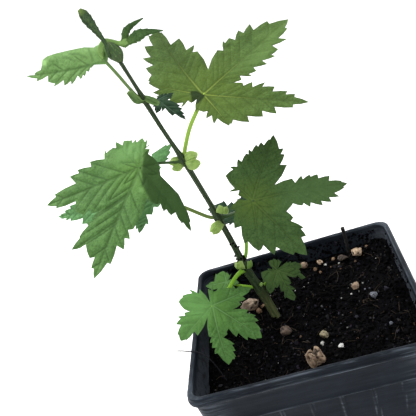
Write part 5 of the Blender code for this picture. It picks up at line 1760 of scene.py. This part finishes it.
FOLDED_LEAVES = (
    FoldedLeaf(
        "tip_leaf_folded",
        ((-35.3, 5.4, 112.2), (-35.0, 5.0, 114.9), (-34.7, 5.0, 117.5), (-35.8, 5.8, 120.7),
         (-36.7, 6.2, 123.2), (-37.8, 6.8, 126.1), (-38.6, 7.3, 128.6), (-39.4, 7.7, 130.4)),
        (0.35, 0.5, 0.6, 0.9, 1.3, 1.75, 1.6, 0.6), (1, 0, 0.3), 0.34, 9, TIP_DARK, 1, True,
    ),
    FoldedLeaf(
        "tip_leaf_inner",
        ((-30.4, 8.0, 113.9), (-28.6, 8.5, 116.1), (-27.3, 9.2, 118.2), (-25.7, 9.8, 119.2),
         (-23.3, 10.6, 119.8), (-20.4, 11.4, 120.3)),
        (0.7, 1.1, 1.3, 1.0, 0.65, 0.15), (0, 0, 1), 0.34, 6, TIP_GREEN, 2,
    ),
    FoldedLeaf(
        "tip_leaf_outer",
        ((-29.6, 7.6, 113.8), (-27.9, 7.4, 114.6), (-25.7, 7.4, 115.3), (-23.4, 7.6, 115.8),
         (-21.0, 8.0, 115.9), (-18.1, 8.6, 115.3), (-14.9, 9.0, 114.4)),
        (0.6, 0.9, 1.6, 1.95, 1.3, 0.75, 0.15), (0, 0, 1), 0.36, 8, TIP_GREEN, 3,
    ),
)


# --- pot and soil


@dataclass
class Pot:
    """The square nursery pot: rounded rim with moulding flash, sunk panels, drain holes."""

    rim_width: float = 90.0
    base_width: float = 71.0
    lip_proud: float = 0.9
    wall: float = 1.3
    floor: float = 1.6
    rim_corner: float = 5.4
    base_corner: float = 4.6
    inner_corner: float = 4.5
    throat: float = 4.0
    band: float = 15.0
    panel_foot: float = 9.0
    panel_depth: float = 0.6
    panel_pitch: float = 10.8
    panel_count: int = 5
    panel_shift: float = 1.9
    rib_width: float = 1.2
    bead: float = 0.22
    # painted reflection towards each corner, and painted highlight along the panel edges
    corner_wear: float = 0.45
    panel_wear: float = 0.9
    lip_foot: float = 91.0
    flash: float = 0.16
    nicks: float = 0.1
    # Painted light on the inner walls: where it starts to change, how much less the far wall gets and how
    # much more the right wall gets; the dirt inside follows it.
    inner_light_start: float = 36.0
    far_less_light_and_dirt: float = 0.8
    right_more_light_and_dirt: float = 0.4
    drain_radius: float = 4.5
    drain_offset: float = 22.0
    side_points: int = 150
    corner_points: int = 10
    finish: PotFinish = PotFinish()

    def wall_half(self, z: float) -> float:
        """Return half the outer width at a height above the base."""
        top = self.rim_width / 2 - self.lip_proud
        return self.base_width / 2 + (top - self.base_width / 2) * z / POT_HEIGHT

    def wall_corner(self, z: float) -> float:
        """Return the corner radius at a height above the base."""
        return self.base_corner + (self.rim_corner - self.base_corner) * z / POT_HEIGHT

    def ring(self, half: float, corner: float, z: float) -> tuple[np.ndarray, np.ndarray, np.ndarray]:
        """Lay points round a square with rounded corners.

        Args:
            half: Half the square's width.
            corner: The corner radius.
            z: The height above the base.

        Returns:
            The points, the outward direction at each, and its place along its side, which is
            far outside the side for a corner's points.
        """
        points, normals, places = [], [], []
        straight = half - corner
        for quarter in range(4):
            turn = np.array(Matrix.Rotation(math.radians(90 * quarter), 2))
            for x in np.linspace(-straight, straight, self.side_points):
                points.append(turn @ (x, -half))
                normals.append(turn @ (0.0, -1.0))
                places.append(x)
            for step in range(1, self.corner_points):
                bend = direction(-90 + 90 * step / self.corner_points)
                points.append(turn @ ((straight, -straight) + corner * bend))
                normals.append(turn @ bend)
                places.append(1e3)
        made = np.column_stack([points, np.full(len(points), z - POT_HEIGHT)])
        return made, np.array(normals), np.array(places)

    def panel_share(self, places: np.ndarray, z: float) -> np.ndarray:
        """Tell how far each wall point lies inside a sunk panel.

        Args:
            places: The points' places along their side.
            z: Their height above the base.

        Returns:
            From 0 outside to 1 inside.
        """
        first = self.panel_shift - self.panel_pitch * self.panel_count / 2
        within = (places - first) % self.panel_pitch
        edge = np.minimum(within, self.panel_pitch - within) - self.rib_width / 2
        across = np.clip(edge / 0.35 + 0.5, 0, 1)
        outside = (places < first) | (places > first + self.panel_pitch * self.panel_count)
        up = np.clip((POT_HEIGHT - self.band - z) / 0.35, 0, 1) * np.clip((z - self.panel_foot) / 0.5, 0, 1)
        return np.where(outside, 0.0, across) * up

    def profile(self) -> list[tuple[float, float, float, float, float]]:
        """List the rings from the foot up outside, over the rim and down inside.

        Returns:
            Rows of height above the base, half width, corner radius, wear with painted highlight, and inside
            share.
        """
        rim = self.rim_width / 2
        rows = [(0.0, self.wall_half(0) - 1.5, self.base_corner, 0.1, 0.0),
                (0.45, self.wall_half(0) - 0.6, self.base_corner, 0.4, 0.0),
                (1.5, self.wall_half(1.5), self.base_corner, 0.3, 0.0)]
        band_low = POT_HEIGHT - self.band
        levels = [5.0, 8.6, 9.0, 9.6, 12.0, *np.arange(16.0, 79.0, 4.5), band_low - 0.6, band_low - 0.3,
                  band_low - 0.18, band_low - 0.05]
        rows += [(z, self.wall_half(z), self.wall_corner(z), 0.05, 0.0) for z in levels]
        # The bead under the band; its wear paints a highlight along its crest.
        for rise, out in ((0.1, 0.6), (0.35, 1.0), (0.65, 0.6), (0.9, 0.0)):
            z = band_low + rise
            rows.append((z, self.wall_half(z) + self.bead * out, self.wall_corner(z), 0.45 * out, 0.0))
        rows += [(z, self.wall_half(z), self.wall_corner(z), 0.05, 0.0) for z in (83.0, 86.0, 89.0, 90.6)]
        # The rim: height, outward step and wear; the wear is high on the rim's edges, as scuffs with painted
        # highlights.
        edge = [(91.2, -0.85, 0.1), (91.5, -0.3, 0.4), (91.8, -0.05, 0.9), (92.2, 0.0, 0.2),
                (93.0, -0.02, 0.05), (93.2, -0.26, 0.6), (93.4, -0.3, 0.05), (94.3, -0.32, 0.05),
                (94.65, -0.42, 0.45), (94.92, -0.68, 0.8), (95.0, -0.95, 0.15), (95.0, -1.6, 0.05),
                (94.95, -1.9, 0.35), (94.7, -2.2, 0.7), (94.2, -2.35, 0.1), (93.0, -2.45, 0.05)]
        rows += [(z, rim + out, self.rim_corner + out * 0.5, wear, 0.0) for z, out, wear in edge]
        throat = POT_HEIGHT - self.throat
        for z in (throat, 88.0, 85.0, 80.0, 70.0, 40.0, 10.0, self.floor):
            inner = self.inner_corner - 2.3 * (1 - z / throat)
            rows.append((z, self.wall_half(z) - self.wall, inner, 0.05, 1.0))
        return rows

    def build(self) -> None:
        """Build the pot in place of the part's own."""
        rings, wears, insides = [], [], []
        for z, half, corner, wear, inside in self.profile():
            points, normals, places = self.ring(half, corner, z)
            walled = inside == 0 and z < POT_HEIGHT - self.band + 0.2
            sunk = self.panel_share(places, z) if walled else 0 * places
            flash = wear * field_noise(points, 2.2, 3.0, 2) * self.flash if z > self.lip_foot else 0.0
            points[:, :2] -= normals * (self.panel_depth * sunk + flash)[:, None]
            if z > self.lip_foot:
                points[:, 2] += np.minimum(wear * field_noise(points, 1.6, 8.0) * self.nicks, 0.0)
            rings.append(points)
            # Painted highlights along the panel edges and a painted reflection towards each corner join the
            # wear.
            edge = np.clip(1 - np.abs(sunk - 0.5) * 2, 0, 1) * self.panel_wear
            edge += self.corner_wear * np.exp(-(np.maximum(half - corner - np.abs(places), 0.0) / 5.0)**2)
            wears.append(np.clip(wear + edge, 0, 1) * np.ones(len(points)))
            # The inside share, which carries the painted light and the dirt, is lower on the far wall and
            # higher on the right wall.
            far = np.clip((points[:, 1] - self.inner_light_start) / 4.0, 0, 1) * (points[:, 0] < 38.0)
            right = np.clip((points[:, 0] - self.inner_light_start) / 3.0, 0, 1)
            insides.append(inside * (1 - self.far_less_light_and_dirt * far + self.right_more_light_and_dirt * right))
        count = len(rings[0])
        draft = Draft("pot_shell")
        draft.add(np.vstack(rings), tube_faces(len(rings), count), wear=np.concatenate(wears),
                  inside=np.concatenate(insides))
        pot = draft.finish(self.finish.material("pot_black"), 55.0)
        self.drill(pot)
        seat(pot, Slot.POT, "pot")

    def drill(self, pot: bpy.types.Object) -> None:
        """Cut the four drain holes through the floor, and remove the cutter.

        Args:
            pot: The pot's shell.
        """
        cutter = Draft("pot_drill")
        angle = np.linspace(0, 2 * np.pi, 32, endpoint=False)
        for x in (-self.drain_offset, self.drain_offset):
            for y in (-self.drain_offset, self.drain_offset):
                hole = np.column_stack([x + self.drain_radius * np.cos(angle),
                                        y + self.drain_radius * np.sin(angle)])
                rings = [np.column_stack([hole, np.full(len(angle), z - POT_HEIGHT)])
                         for z in (-2.0, self.floor + 2.0)]
                cutter.add(np.vstack(rings), tube_faces(2, len(angle)), wear=0.2, inside=0.0)
        tool = cutter.finish(pot.data.materials[0])
        cut = pot.modifiers.new("drain_holes", "BOOLEAN")
        cut.operation = "DIFFERENCE"
        cut.object = tool
        cut.solver = "EXACT"
        graph = bpy.context.evaluated_depsgraph_get()
        mesh = bpy.data.meshes.new_from_object(pot.evaluated_get(graph))
        pot.modifiers.clear()
        pot.data = mesh
        bpy.data.objects.remove(tool, do_unlink=True)


@dataclass
class SoilBed:
    """The compost: a lumpy top, loose crumbs, fibres, and light specks."""

    MARKS = (
        (-40, -40, -17), (-30, -38, -16), (-41, -5, -12), (-38, 22, -10), (-12, 12, -12),
        (2, -26, -13), (25, -30, -11), (38, -25, -8), (39, 5, -7), (37, 36, -6),
        (10, 38, -9), (-20, 38, -10), (10, 5, -13), (22, 18, -12),
    )
    BLEND = 30.0
    ROUGHNESS = 0.9
    LUMP = 7.0
    DEPTH = 12.0  # how deep the top usually lies
    CLODS = ((3.4, 5.0, 0.75), (1.3, 9.0, 0.55), (0.55, 2.0, 0.22))  # width, pattern and height
    SETTLED = 0.1

    pot: Pot
    cells: int = 170
    corner: float = 4.9
    margin: float = 0.3
    crumb_count: int = 5200
    clinging_count: int = 700
    fibre_count: int = 150
    speck_count: int = 230
    finish: SoilFinish = SoilFinish()
    grain_finish: GrainFinish = GrainFinish()

    def base_height(self, x: float, y: float) -> float:
        """Work out the part's own soil height at a place.

        Args:
            x: The place's X.
            y: Its Y.

        Returns:
            The height.
        """
        total = weights = 0.0
        for mark_x, mark_y, mark_z in self.MARKS:
            weight = 1.0 / ((x - mark_x)**2 + (y - mark_y)**2 + self.BLEND)
            total += weight * mark_z
            weights += weight
        return total / weights + self.ROUGHNESS * noise.noise(Vector((x, y, 0.0)) / self.LUMP)

    def height(self, x: float, y: float) -> float:
        """Work out the finished soil height: the part's own, with clods and crumbs.

        Args:
            x: The place's X.
            y: Its Y.

        Returns:
            The height.
        """
        total = self.base_height(x, y)
        for width, pattern, rise in self.CLODS:
            total += rise * noise.noise(Vector((x / width, y / width, pattern)))
        return total - self.SETTLED

    def spot(self, u: float, v: float) -> np.ndarray:
        """Find the soil's point for a place of the square grid.

        Args:
            u: The place across, from -1 to 1.
            v: The place away, from -1 to 1.

        Returns:
            The point.
        """
        pot = self.pot
        reach = pot.wall_half(POT_HEIGHT - self.DEPTH) - pot.wall - self.margin
        straight = reach - self.corner
        x, y = u * reach, v * reach
        over_x, over_y = abs(x) - straight, abs(y) - straight
        if over_x > 0 and over_y > 0:
            fit = max(over_x, over_y) / math.hypot(over_x, over_y)
            x = math.copysign(straight + over_x * fit, x)
            y = math.copysign(straight + over_y * fit, y)
        z = self.height(x, y)
        narrow = (pot.wall_half(POT_HEIGHT + z) - pot.wall - self.margin + 0.25) / reach
        return np.array((x * narrow, y * narrow, z))

    def build_top(self) -> None:
        """Build the soil as a closed block with a lumpy top."""
        pot = self.pot
        n = self.cells
        lines = np.linspace(-1, 1, n + 1)
        points = [self.spot(u, v) for v in lines for u in lines]
        faces = grid_faces(n)
        rim = [(i, 0) for i in range(n)] + [(n, j) for j in range(n)]
        rim += [(i, n) for i in range(n, 0, -1)] + [(0, j) for j in range(n, 0, -1)]
        rim = [j * (n + 1) + i for i, j in rim]
        bottom = pot.floor + self.margin - POT_HEIGHT
        narrow = pot.wall_half(pot.floor + 1.0) - pot.wall - self.margin
        narrow /= pot.wall_half(POT_HEIGHT - self.DEPTH)
        foot = []
        for k in rim:
            foot.append(len(points))
            points.append(np.array((points[k][0] * narrow, points[k][1] * narrow, bottom)))
        for k, top in enumerate(rim):
            after = (k + 1) % len(rim)
            faces.append((top, foot[k], foot[after], rim[after]))
        faces.append(tuple(reversed(foot)))
        draft = Draft("soil_bed")
        draft.add(np.array(points), faces)
        seat(draft.finish(self.finish.material("soil_black"), 180.0), Slot.SOIL, "soil")

    def scatter(self, rng: np.random.Generator, count: int) -> np.ndarray:
        """Pick places on the soil's top."""
        spots = rng.uniform(-0.97, 0.97, (count, 2))
        return np.array([self.spot(u, v) for u, v in spots])

    def wall_spots(self, rng: np.random.Generator) -> np.ndarray:
        """Pick places on the inside of the far and the right wall, where soil clings.

        Args:
            rng: The crumbs' random numbers.

        Returns:
            The places, shape (n, 3).
        """
        pot = self.pot
        made = []
        for k in range(self.clinging_count):
            z = -rng.uniform(1.5, 3.4)**2
            out = pot.wall_half(POT_HEIGHT + z) - pot.wall - 0.1
            along = rng.uniform(-0.9, 0.9) * out
            made.append((along, out, z) if k % 8 else (out, along, z))
        return np.array(made)

    def build_crumbs(self) -> None:
        """Build the loose crumbs that lie all over the top and cling to the walls."""
        rng = np.random.default_rng(7)
        draft = Draft("soil_crumbs")
        balls = [lump(np.ones(3), 0.75, 4.7 * k, 1) for k in range(12)]
        spots = np.vstack([self.scatter(rng, self.crumb_count), self.wall_spots(rng)])
        for k, at in enumerate(spots):
            points, faces = balls[k % len(balls)]
            size = np.clip(rng.lognormal(-0.28, 0.42), 0.3, 2.2) * rng.uniform(0.6, 1.3, 3)
            tone = rng.uniform(0.0004, 0.0026) * (rng.uniform(5.0, 16.0) if rng.random() < 0.13 else 1.0)
            tint = tone * np.array((1.0, rng.uniform(0.85, 1.05), rng.uniform(0.9, 1.4)))
            draft.add(spin(points * size, rng.uniform(0, 6.3, 3)) + at + (0, 0, 0.25 * size.min()), faces,
                      tint=tint)
        seat(draft.finish(self.grain_finish.material("soil_crumb"), 35.0), Slot.SOIL)

    def build_fibres(self) -> None:
        """Build thin curved fibres and root hairs on the top, one hanging over the rim."""
        rng = np.random.default_rng(8)
        draft = Draft("soil_fibres")
        for at in self.scatter(rng, self.fibre_count):
            length = rng.uniform(2.0, 8.0)
            turn = rng.uniform(0, 2 * np.pi)
            bend = rng.uniform(-1.1, 1.1)
            t = np.linspace(-0.5, 0.5, 7)
            x = at[0] + length * t * math.cos(turn) - bend * t**2 * length * math.sin(turn)
            y = at[1] + length * t * math.sin(turn) + bend * t**2 * length * math.cos(turn)
            edge = self.pot.rim_width / 2 - 6.0
            x, y = np.clip(x, -edge, edge), np.clip(y, -edge, edge)
            z = np.array([self.height(a, b) for a, b in zip(x, y)]) + rng.uniform(0.2, 0.9)
            tone = rng.uniform(0.006, 0.045)
            self.strand(draft, np.column_stack([x, y, z]), rng.uniform(0.07, 0.17),
                        tone * np.array((1.0, 0.8, 0.6)))
        over_rim = ((-50.5, -13.5, 0.3), (-47.7, -14.8, 0.45), (-44.7, -16.2, 0.35), (-41.8, -17.2, 0.0),
                    (-38.4, -18.6, -2.5), (-35.9, -20.4, -7.0), (-34.0, -22.0, -13.0))
        self.strand(draft, smooth_path(np.array(over_rim), 5), 0.24, np.array((0.02, 0.02, 0.024)))
        seat(draft.finish(self.grain_finish.material("soil_fibre"), 60.0), Slot.SOIL)

    @staticmethod
    def strand(draft: Draft, path: np.ndarray, radius: float, tint: np.ndarray) -> None:
        """Add one thin strand to a draft.

        Args:
            draft: The draft.
            path: Points along the strand.
            radius: Its radius, before its thinner ends.
            tint: Its colour.
        """
        reach = np.full((len(path), 5), radius)
        reach[0] *= 0.4
        reach[-1] *= 0.4
        draft.add(tube_points(path, reach, (0.1, 0.2, 1)), tube_faces(len(path), 5), tint=tint)

    def build_specks(self) -> None:
        """Build small light specks: white grit, tan bark dust and grey grains."""
        rng = np.random.default_rng(9)
        draft = Draft("soil_specks")
        palette = ((0.58, 0.58, 0.55), (0.2, 0.13, 0.08), (0.1, 0.066, 0.044), (0.15, 0.16, 0.19))
        placed = ((2.0, 24.2, 1.5, 0), (4.9, -15.2, 1.9, 0), (-11.5, 14.4, 1.2, 0), (-17.1, 18.7, 2.4, 1),
                  (31.5, -17.7, 1.6, 3), (8.5, 33.6, 2.0, 1), (10.4, 31.0, 1.6, 1), (13.2, 35.9, 1.5, 0),
                  (15.5, 33.0, 1.2, 2), (17.4, 37.2, 1.8, 1), (26.4, 30.2, 1.4, 2), (33.0, 37.0, 1.6, 1),
                  (20.6, 11.0, 1.1, 0), (26.5, 9.6, 1.0, 3), (-19.0, 15.4, 2.8, 1), (-3.0, -8.5, 1.3, 2))
        for x, y, size, kind in placed:
            points, faces = lump(np.array((size, size * 0.8, size * 0.75)), 0.35, x, 2)
            at = np.array((x, y, self.height(x, y) + 0.3 * size))
            draft.add(spin(points, rng.uniform(0, 6.3, 3)) + at, faces, tint=np.array(palette[kind]))
        for k, at in enumerate(self.scatter(rng, self.speck_count)):
            size = rng.uniform(0.25, 0.8)
            points, faces = lump(size * rng.uniform(0.6, 1.2, 3), 0.5, 1.3 * k, 1)
            tint = np.array(palette[rng.integers(4)]) * rng.uniform(0.08, 0.7)
            draft.add(points + at + (0, 0, 0.5 * size + 0.25), faces, tint=tint)
        seat(draft.finish(self.grain_finish.material("soil_speck"), 35.0), Slot.SOIL)

    def build(self) -> None:
        """Build the soil and everything loose that is too small to be a solid of its own."""
        self.build_top()
        self.build_crumbs()
        self.build_fibres()
        self.build_specks()


@dataclass
class Chip:
    """A chip of bark, a pebble or a perlite grain that lies where the part's own lies."""

    SUNK = 0.55  # how far it is pressed into the soil, in millimetres

    name: str
    slot: Slot
    finish: ChipFinish
    turn: float
    pits: float = 0.25
    cleft: float = 0.0
    level: int = 4
    facets: int = 9

    def build(self) -> None:
        """Build the chip in place of the part's own, inside the same box."""
        low, high = (np.array(corner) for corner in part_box(self.name))
        middle = (low + high) / 2 / MM - (0, 0, POT_HEIGHT)
        size = (high - low) / MM
        points, faces = lump(np.full(3, 2.0), 0.28, float(middle[0]), self.level)
        out = points / np.linalg.norm(points, axis=1, keepdims=True)
        rng = np.random.default_rng(int(abs(middle[0]) * 10))
        for _ in range(self.facets):
            way = unit(rng.normal(size=3))
            over = np.maximum(points @ way - rng.uniform(0.55, 0.85), 0.0)
            points -= over[:, None] * way * 0.85
        hollow = np.clip(field_noise(out, 0.5, middle[1], 3) * 1.7 - 0.4, 0, 1)
        points = points * (1 - self.pits * hollow)[:, None]
        split = np.exp(-((out[:, 0] - 0.12) / 0.22)**2) * np.clip(out[:, 2], 0, 1)
        points[:, 2] *= 1 - self.cleft * split
        points *= (1 + 0.05 * field_noise(out, 0.12, 2.0))[:, None]
        points = spin(points, np.array((0.0, 0.0, math.radians(self.turn))))
        points *= size / np.ptp(points, axis=0)
        points += middle - (points.max(0) + points.min(0)) / 2 - (0, 0, self.SUNK)
        draft = Draft(f"{self.name}_piece")
        draft.add(points, faces, pit=np.clip(hollow * 1.6 + split * self.cleft, 0, 1))
        seat(draft.finish(self.finish.material(f"{self.name}_tone"), 50.0), self.slot, self.name)


TAN_BARK = ChipFinish((0.15, 0.095, 0.06), (0.56, 0.42, 0.29), (0.01, 0.007, 0.006))
PALE_BARK = ChipFinish((0.19, 0.135, 0.095), (0.34, 0.265, 0.2), (0.016, 0.012, 0.01))
BROWN_BARK = ChipFinish((0.018, 0.013, 0.011), (0.12, 0.085, 0.062), (0.005, 0.004, 0.004), 0.8)
DARK_BARK = ChipFinish((0.03, 0.022, 0.017), (0.085, 0.062, 0.046), (0.006, 0.005, 0.005))
WARM_STONE = ChipFinish((0.18, 0.12, 0.08), (0.33, 0.24, 0.17), (0.04, 0.026, 0.02))
CREAM_STONE = ChipFinish((0.16, 0.135, 0.08), (0.29, 0.25, 0.16), (0.03, 0.025, 0.016))
WHITE_GRAIN = ChipFinish((0.6, 0.6, 0.58), (0.8, 0.8, 0.78), (0.25, 0.24, 0.23))
GREY_GRAIN = ChipFinish((0.085, 0.09, 0.11), (0.18, 0.19, 0.22), (0.02, 0.02, 0.026))
CHIPS = (
    Chip("bark_chip_front", Slot.BARK, TAN_BARK, 20, 0.34, 0.62, 5),
    Chip("bark_chip_left", Slot.BARK, PALE_BARK, -15, 0.3, 0.15, 5),
    Chip("bark_chip_striped", Slot.BARK, BROWN_BARK, 50, 0.2),
    Chip("bark_chip_back_right", Slot.BARK, TAN_BARK, 30),
    Chip("bark_chip_back_middle", Slot.BARK, DARK_BARK, -20),
    Chip("bark_chip_back_left", Slot.BARK, TAN_BARK, 60),
    Chip("pebble_back_left", Slot.PEBBLE, WARM_STONE, 10, 0.12),
    Chip("pebble_right", Slot.PEBBLE, WARM_STONE, 0, 0.12),
    Chip("pebble_middle", Slot.PEBBLE, CREAM_STONE, 0, 0.16),
    Chip("perlite_white", Slot.PERLITE, WHITE_GRAIN, 0, 0.1),
    Chip("perlite_grey", Slot.PERLITE, GREY_GRAIN, 40, 0.2),
)


@dataclass
class Twig:
    """The dark stub of a twig that leans on the inside of the far rim."""

    RINGS = 26
    SIDES = 14

    foot: Place = (24.8, 40.2, -10.6)
    top: Place = (25.3, 41.0, 3.6)
    radius: float = 0.85
    finish: ChipFinish = ChipFinish((0.006, 0.006, 0.006), (0.014, 0.013, 0.013), (0.003, 0.003, 0.003))

    def build(self) -> None:
        """Build the twig in place of the part's own."""
        t = np.linspace(0, 1, self.RINGS)[:, None]
        path = np.asarray(self.foot) * (1 - t) + np.asarray(self.top) * t
        angle = 2 * np.pi * np.arange(self.SIDES) / self.SIDES
        spots = np.column_stack([np.repeat(t * 9.6, self.SIDES), np.tile(np.cos(angle), self.RINGS),
                                 np.tile(np.sin(angle), self.RINGS)])
        rough = field_noise(spots, 1.4, 2.0, 2).reshape(self.RINGS, self.SIDES)
        reach = self.radius * (0.92 + 0.22 * rough + 0.12 * np.exp(-((t - 0.93) / 0.08)**2))
        draft = Draft("twig_stub")
        draft.add(tube_points(path, reach, (1, 0, 0)), tube_faces(self.RINGS, self.SIDES),
                  pit=np.clip(0.4 - rough, 0, 1).ravel())
        seat(draft.finish(self.finish.material("twig_dark")), Slot.TWIG, "twig")


# --- studio


@dataclass
class Studio:
    """A plain pale floor, a white surround, soft lights and the camera."""

    floor_half: float = 4.0  # metres
    floor_cells: int = 24
    sensor: float = 36.0
    bright_side: Place = (-0.15, 0.6, 0.8)
    dimmest: float = 0.3
    brightest: float = 1.75
    lamps: tuple[tuple[str, Place, Place, float, float], ...] = (
        ("key", (-0.5, 0.3, 0.9), (-0.02, 0.0, 0.12), 0.35, 9.0),
        ("front", (0.25, -0.9, 0.6), (-0.02, 0.0, 0.12), 0.7, 1.5),
    )

    def build_floor(self) -> None:
        """Build the floor, a flat sheet, slightly uneven in tone, that reaches far outside the picture."""
        n = self.floor_cells
        line = np.linspace(-self.floor_half, self.floor_half, n + 1)
        points = [(x, y, 0.0) for y in line for x in line]
        mesh = bpy.data.meshes.new("floor")
        mesh.from_pydata(points, [], grid_faces(n))
        mesh.materials.append(FloorFinish().material("floor_pale"))
        floor = bpy.data.objects.new("floor", mesh)
        bpy.context.scene.collection.objects.link(floor)

    def build_surround(self) -> None:
        """Build the white surround, brightest up and behind the plant."""
        world = bpy.data.worlds.new("surround")
        world.use_nodes = True
        tree = world.node_tree
        way = tree.nodes.new("ShaderNodeTexCoord")
        side = tree.nodes.new("ShaderNodeVectorMath")
        side.operation = "DOT_PRODUCT"
        side.inputs[1].default_value = self.bright_side
        ramp = tree.nodes.new("ShaderNodeMapRange")
        ramp.inputs["From Min"].default_value = -1.0
        ramp.inputs["To Min"].default_value = self.dimmest
        ramp.inputs["To Max"].default_value = self.brightest
        tree.links.new(way.outputs["Generated"], side.inputs[0])
        tree.links.new(side.outputs["Value"], ramp.inputs["Value"])
        tree.links.new(ramp.outputs["Result"], tree.nodes["Background"].inputs["Strength"])
        tree.nodes["Background"].inputs["Color"].default_value = (1.0, 1.0, 1.0, 1.0)
        bpy.context.scene.world = world

    def build_lamps(self) -> None:
        """Build the soft lamps."""
        for name, at, target, size, power in self.lamps:
            data = bpy.data.lights.new(name, "AREA")
            data.size = size
            data.energy = power
            lamp = bpy.data.objects.new(name, data)
            lamp.location = at
            lamp.rotation_euler = (Vector(target) - Vector(at)).to_track_quat("-Z", "Y").to_euler()
            bpy.context.scene.collection.objects.link(lamp)

    def build_camera(self) -> None:
        """Build the camera where the photograph was taken from."""
        data = bpy.data.cameras.new("camera")
        data.lens = self.sensor * VIEW.focal / (2 * VIEW.middle)
        data.sensor_width = self.sensor
        data.clip_start = 0.01
        camera = bpy.data.objects.new("camera", data)
        turn = Matrix((VIEW.right, [-c for c in VIEW.down], [-c for c in VIEW.forward])).transposed()
        camera.matrix_world = Matrix.Translation(place(VIEW.at)) @ turn.to_4x4()
        bpy.context.scene.collection.objects.link(camera)
        bpy.context.scene.camera = camera

    def build(self) -> None:
        """Set the stage."""
        bpy.context.scene.view_settings.view_transform = "Standard"
        self.build_floor()
        self.build_surround()
        self.build_lamps()
        self.build_camera()


def write_sizes() -> None:
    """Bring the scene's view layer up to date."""
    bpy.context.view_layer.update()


def main() -> None:
    """Build every piece of the potted bine, then the stage."""
    logging.basicConfig(level=logging.INFO, format="%(name)s: %(message)s")
    pot = Pot()
    plant = (Bine(), *LEAVES, *STIPULES, *BUDS, *FOLDED_LEAVES)
    for piece in (pot, SoilBed(pot), *CHIPS, Twig(), *plant, Studio()):
        piece.build()
    write_sizes()


if __name__ == "__main__":
    main()
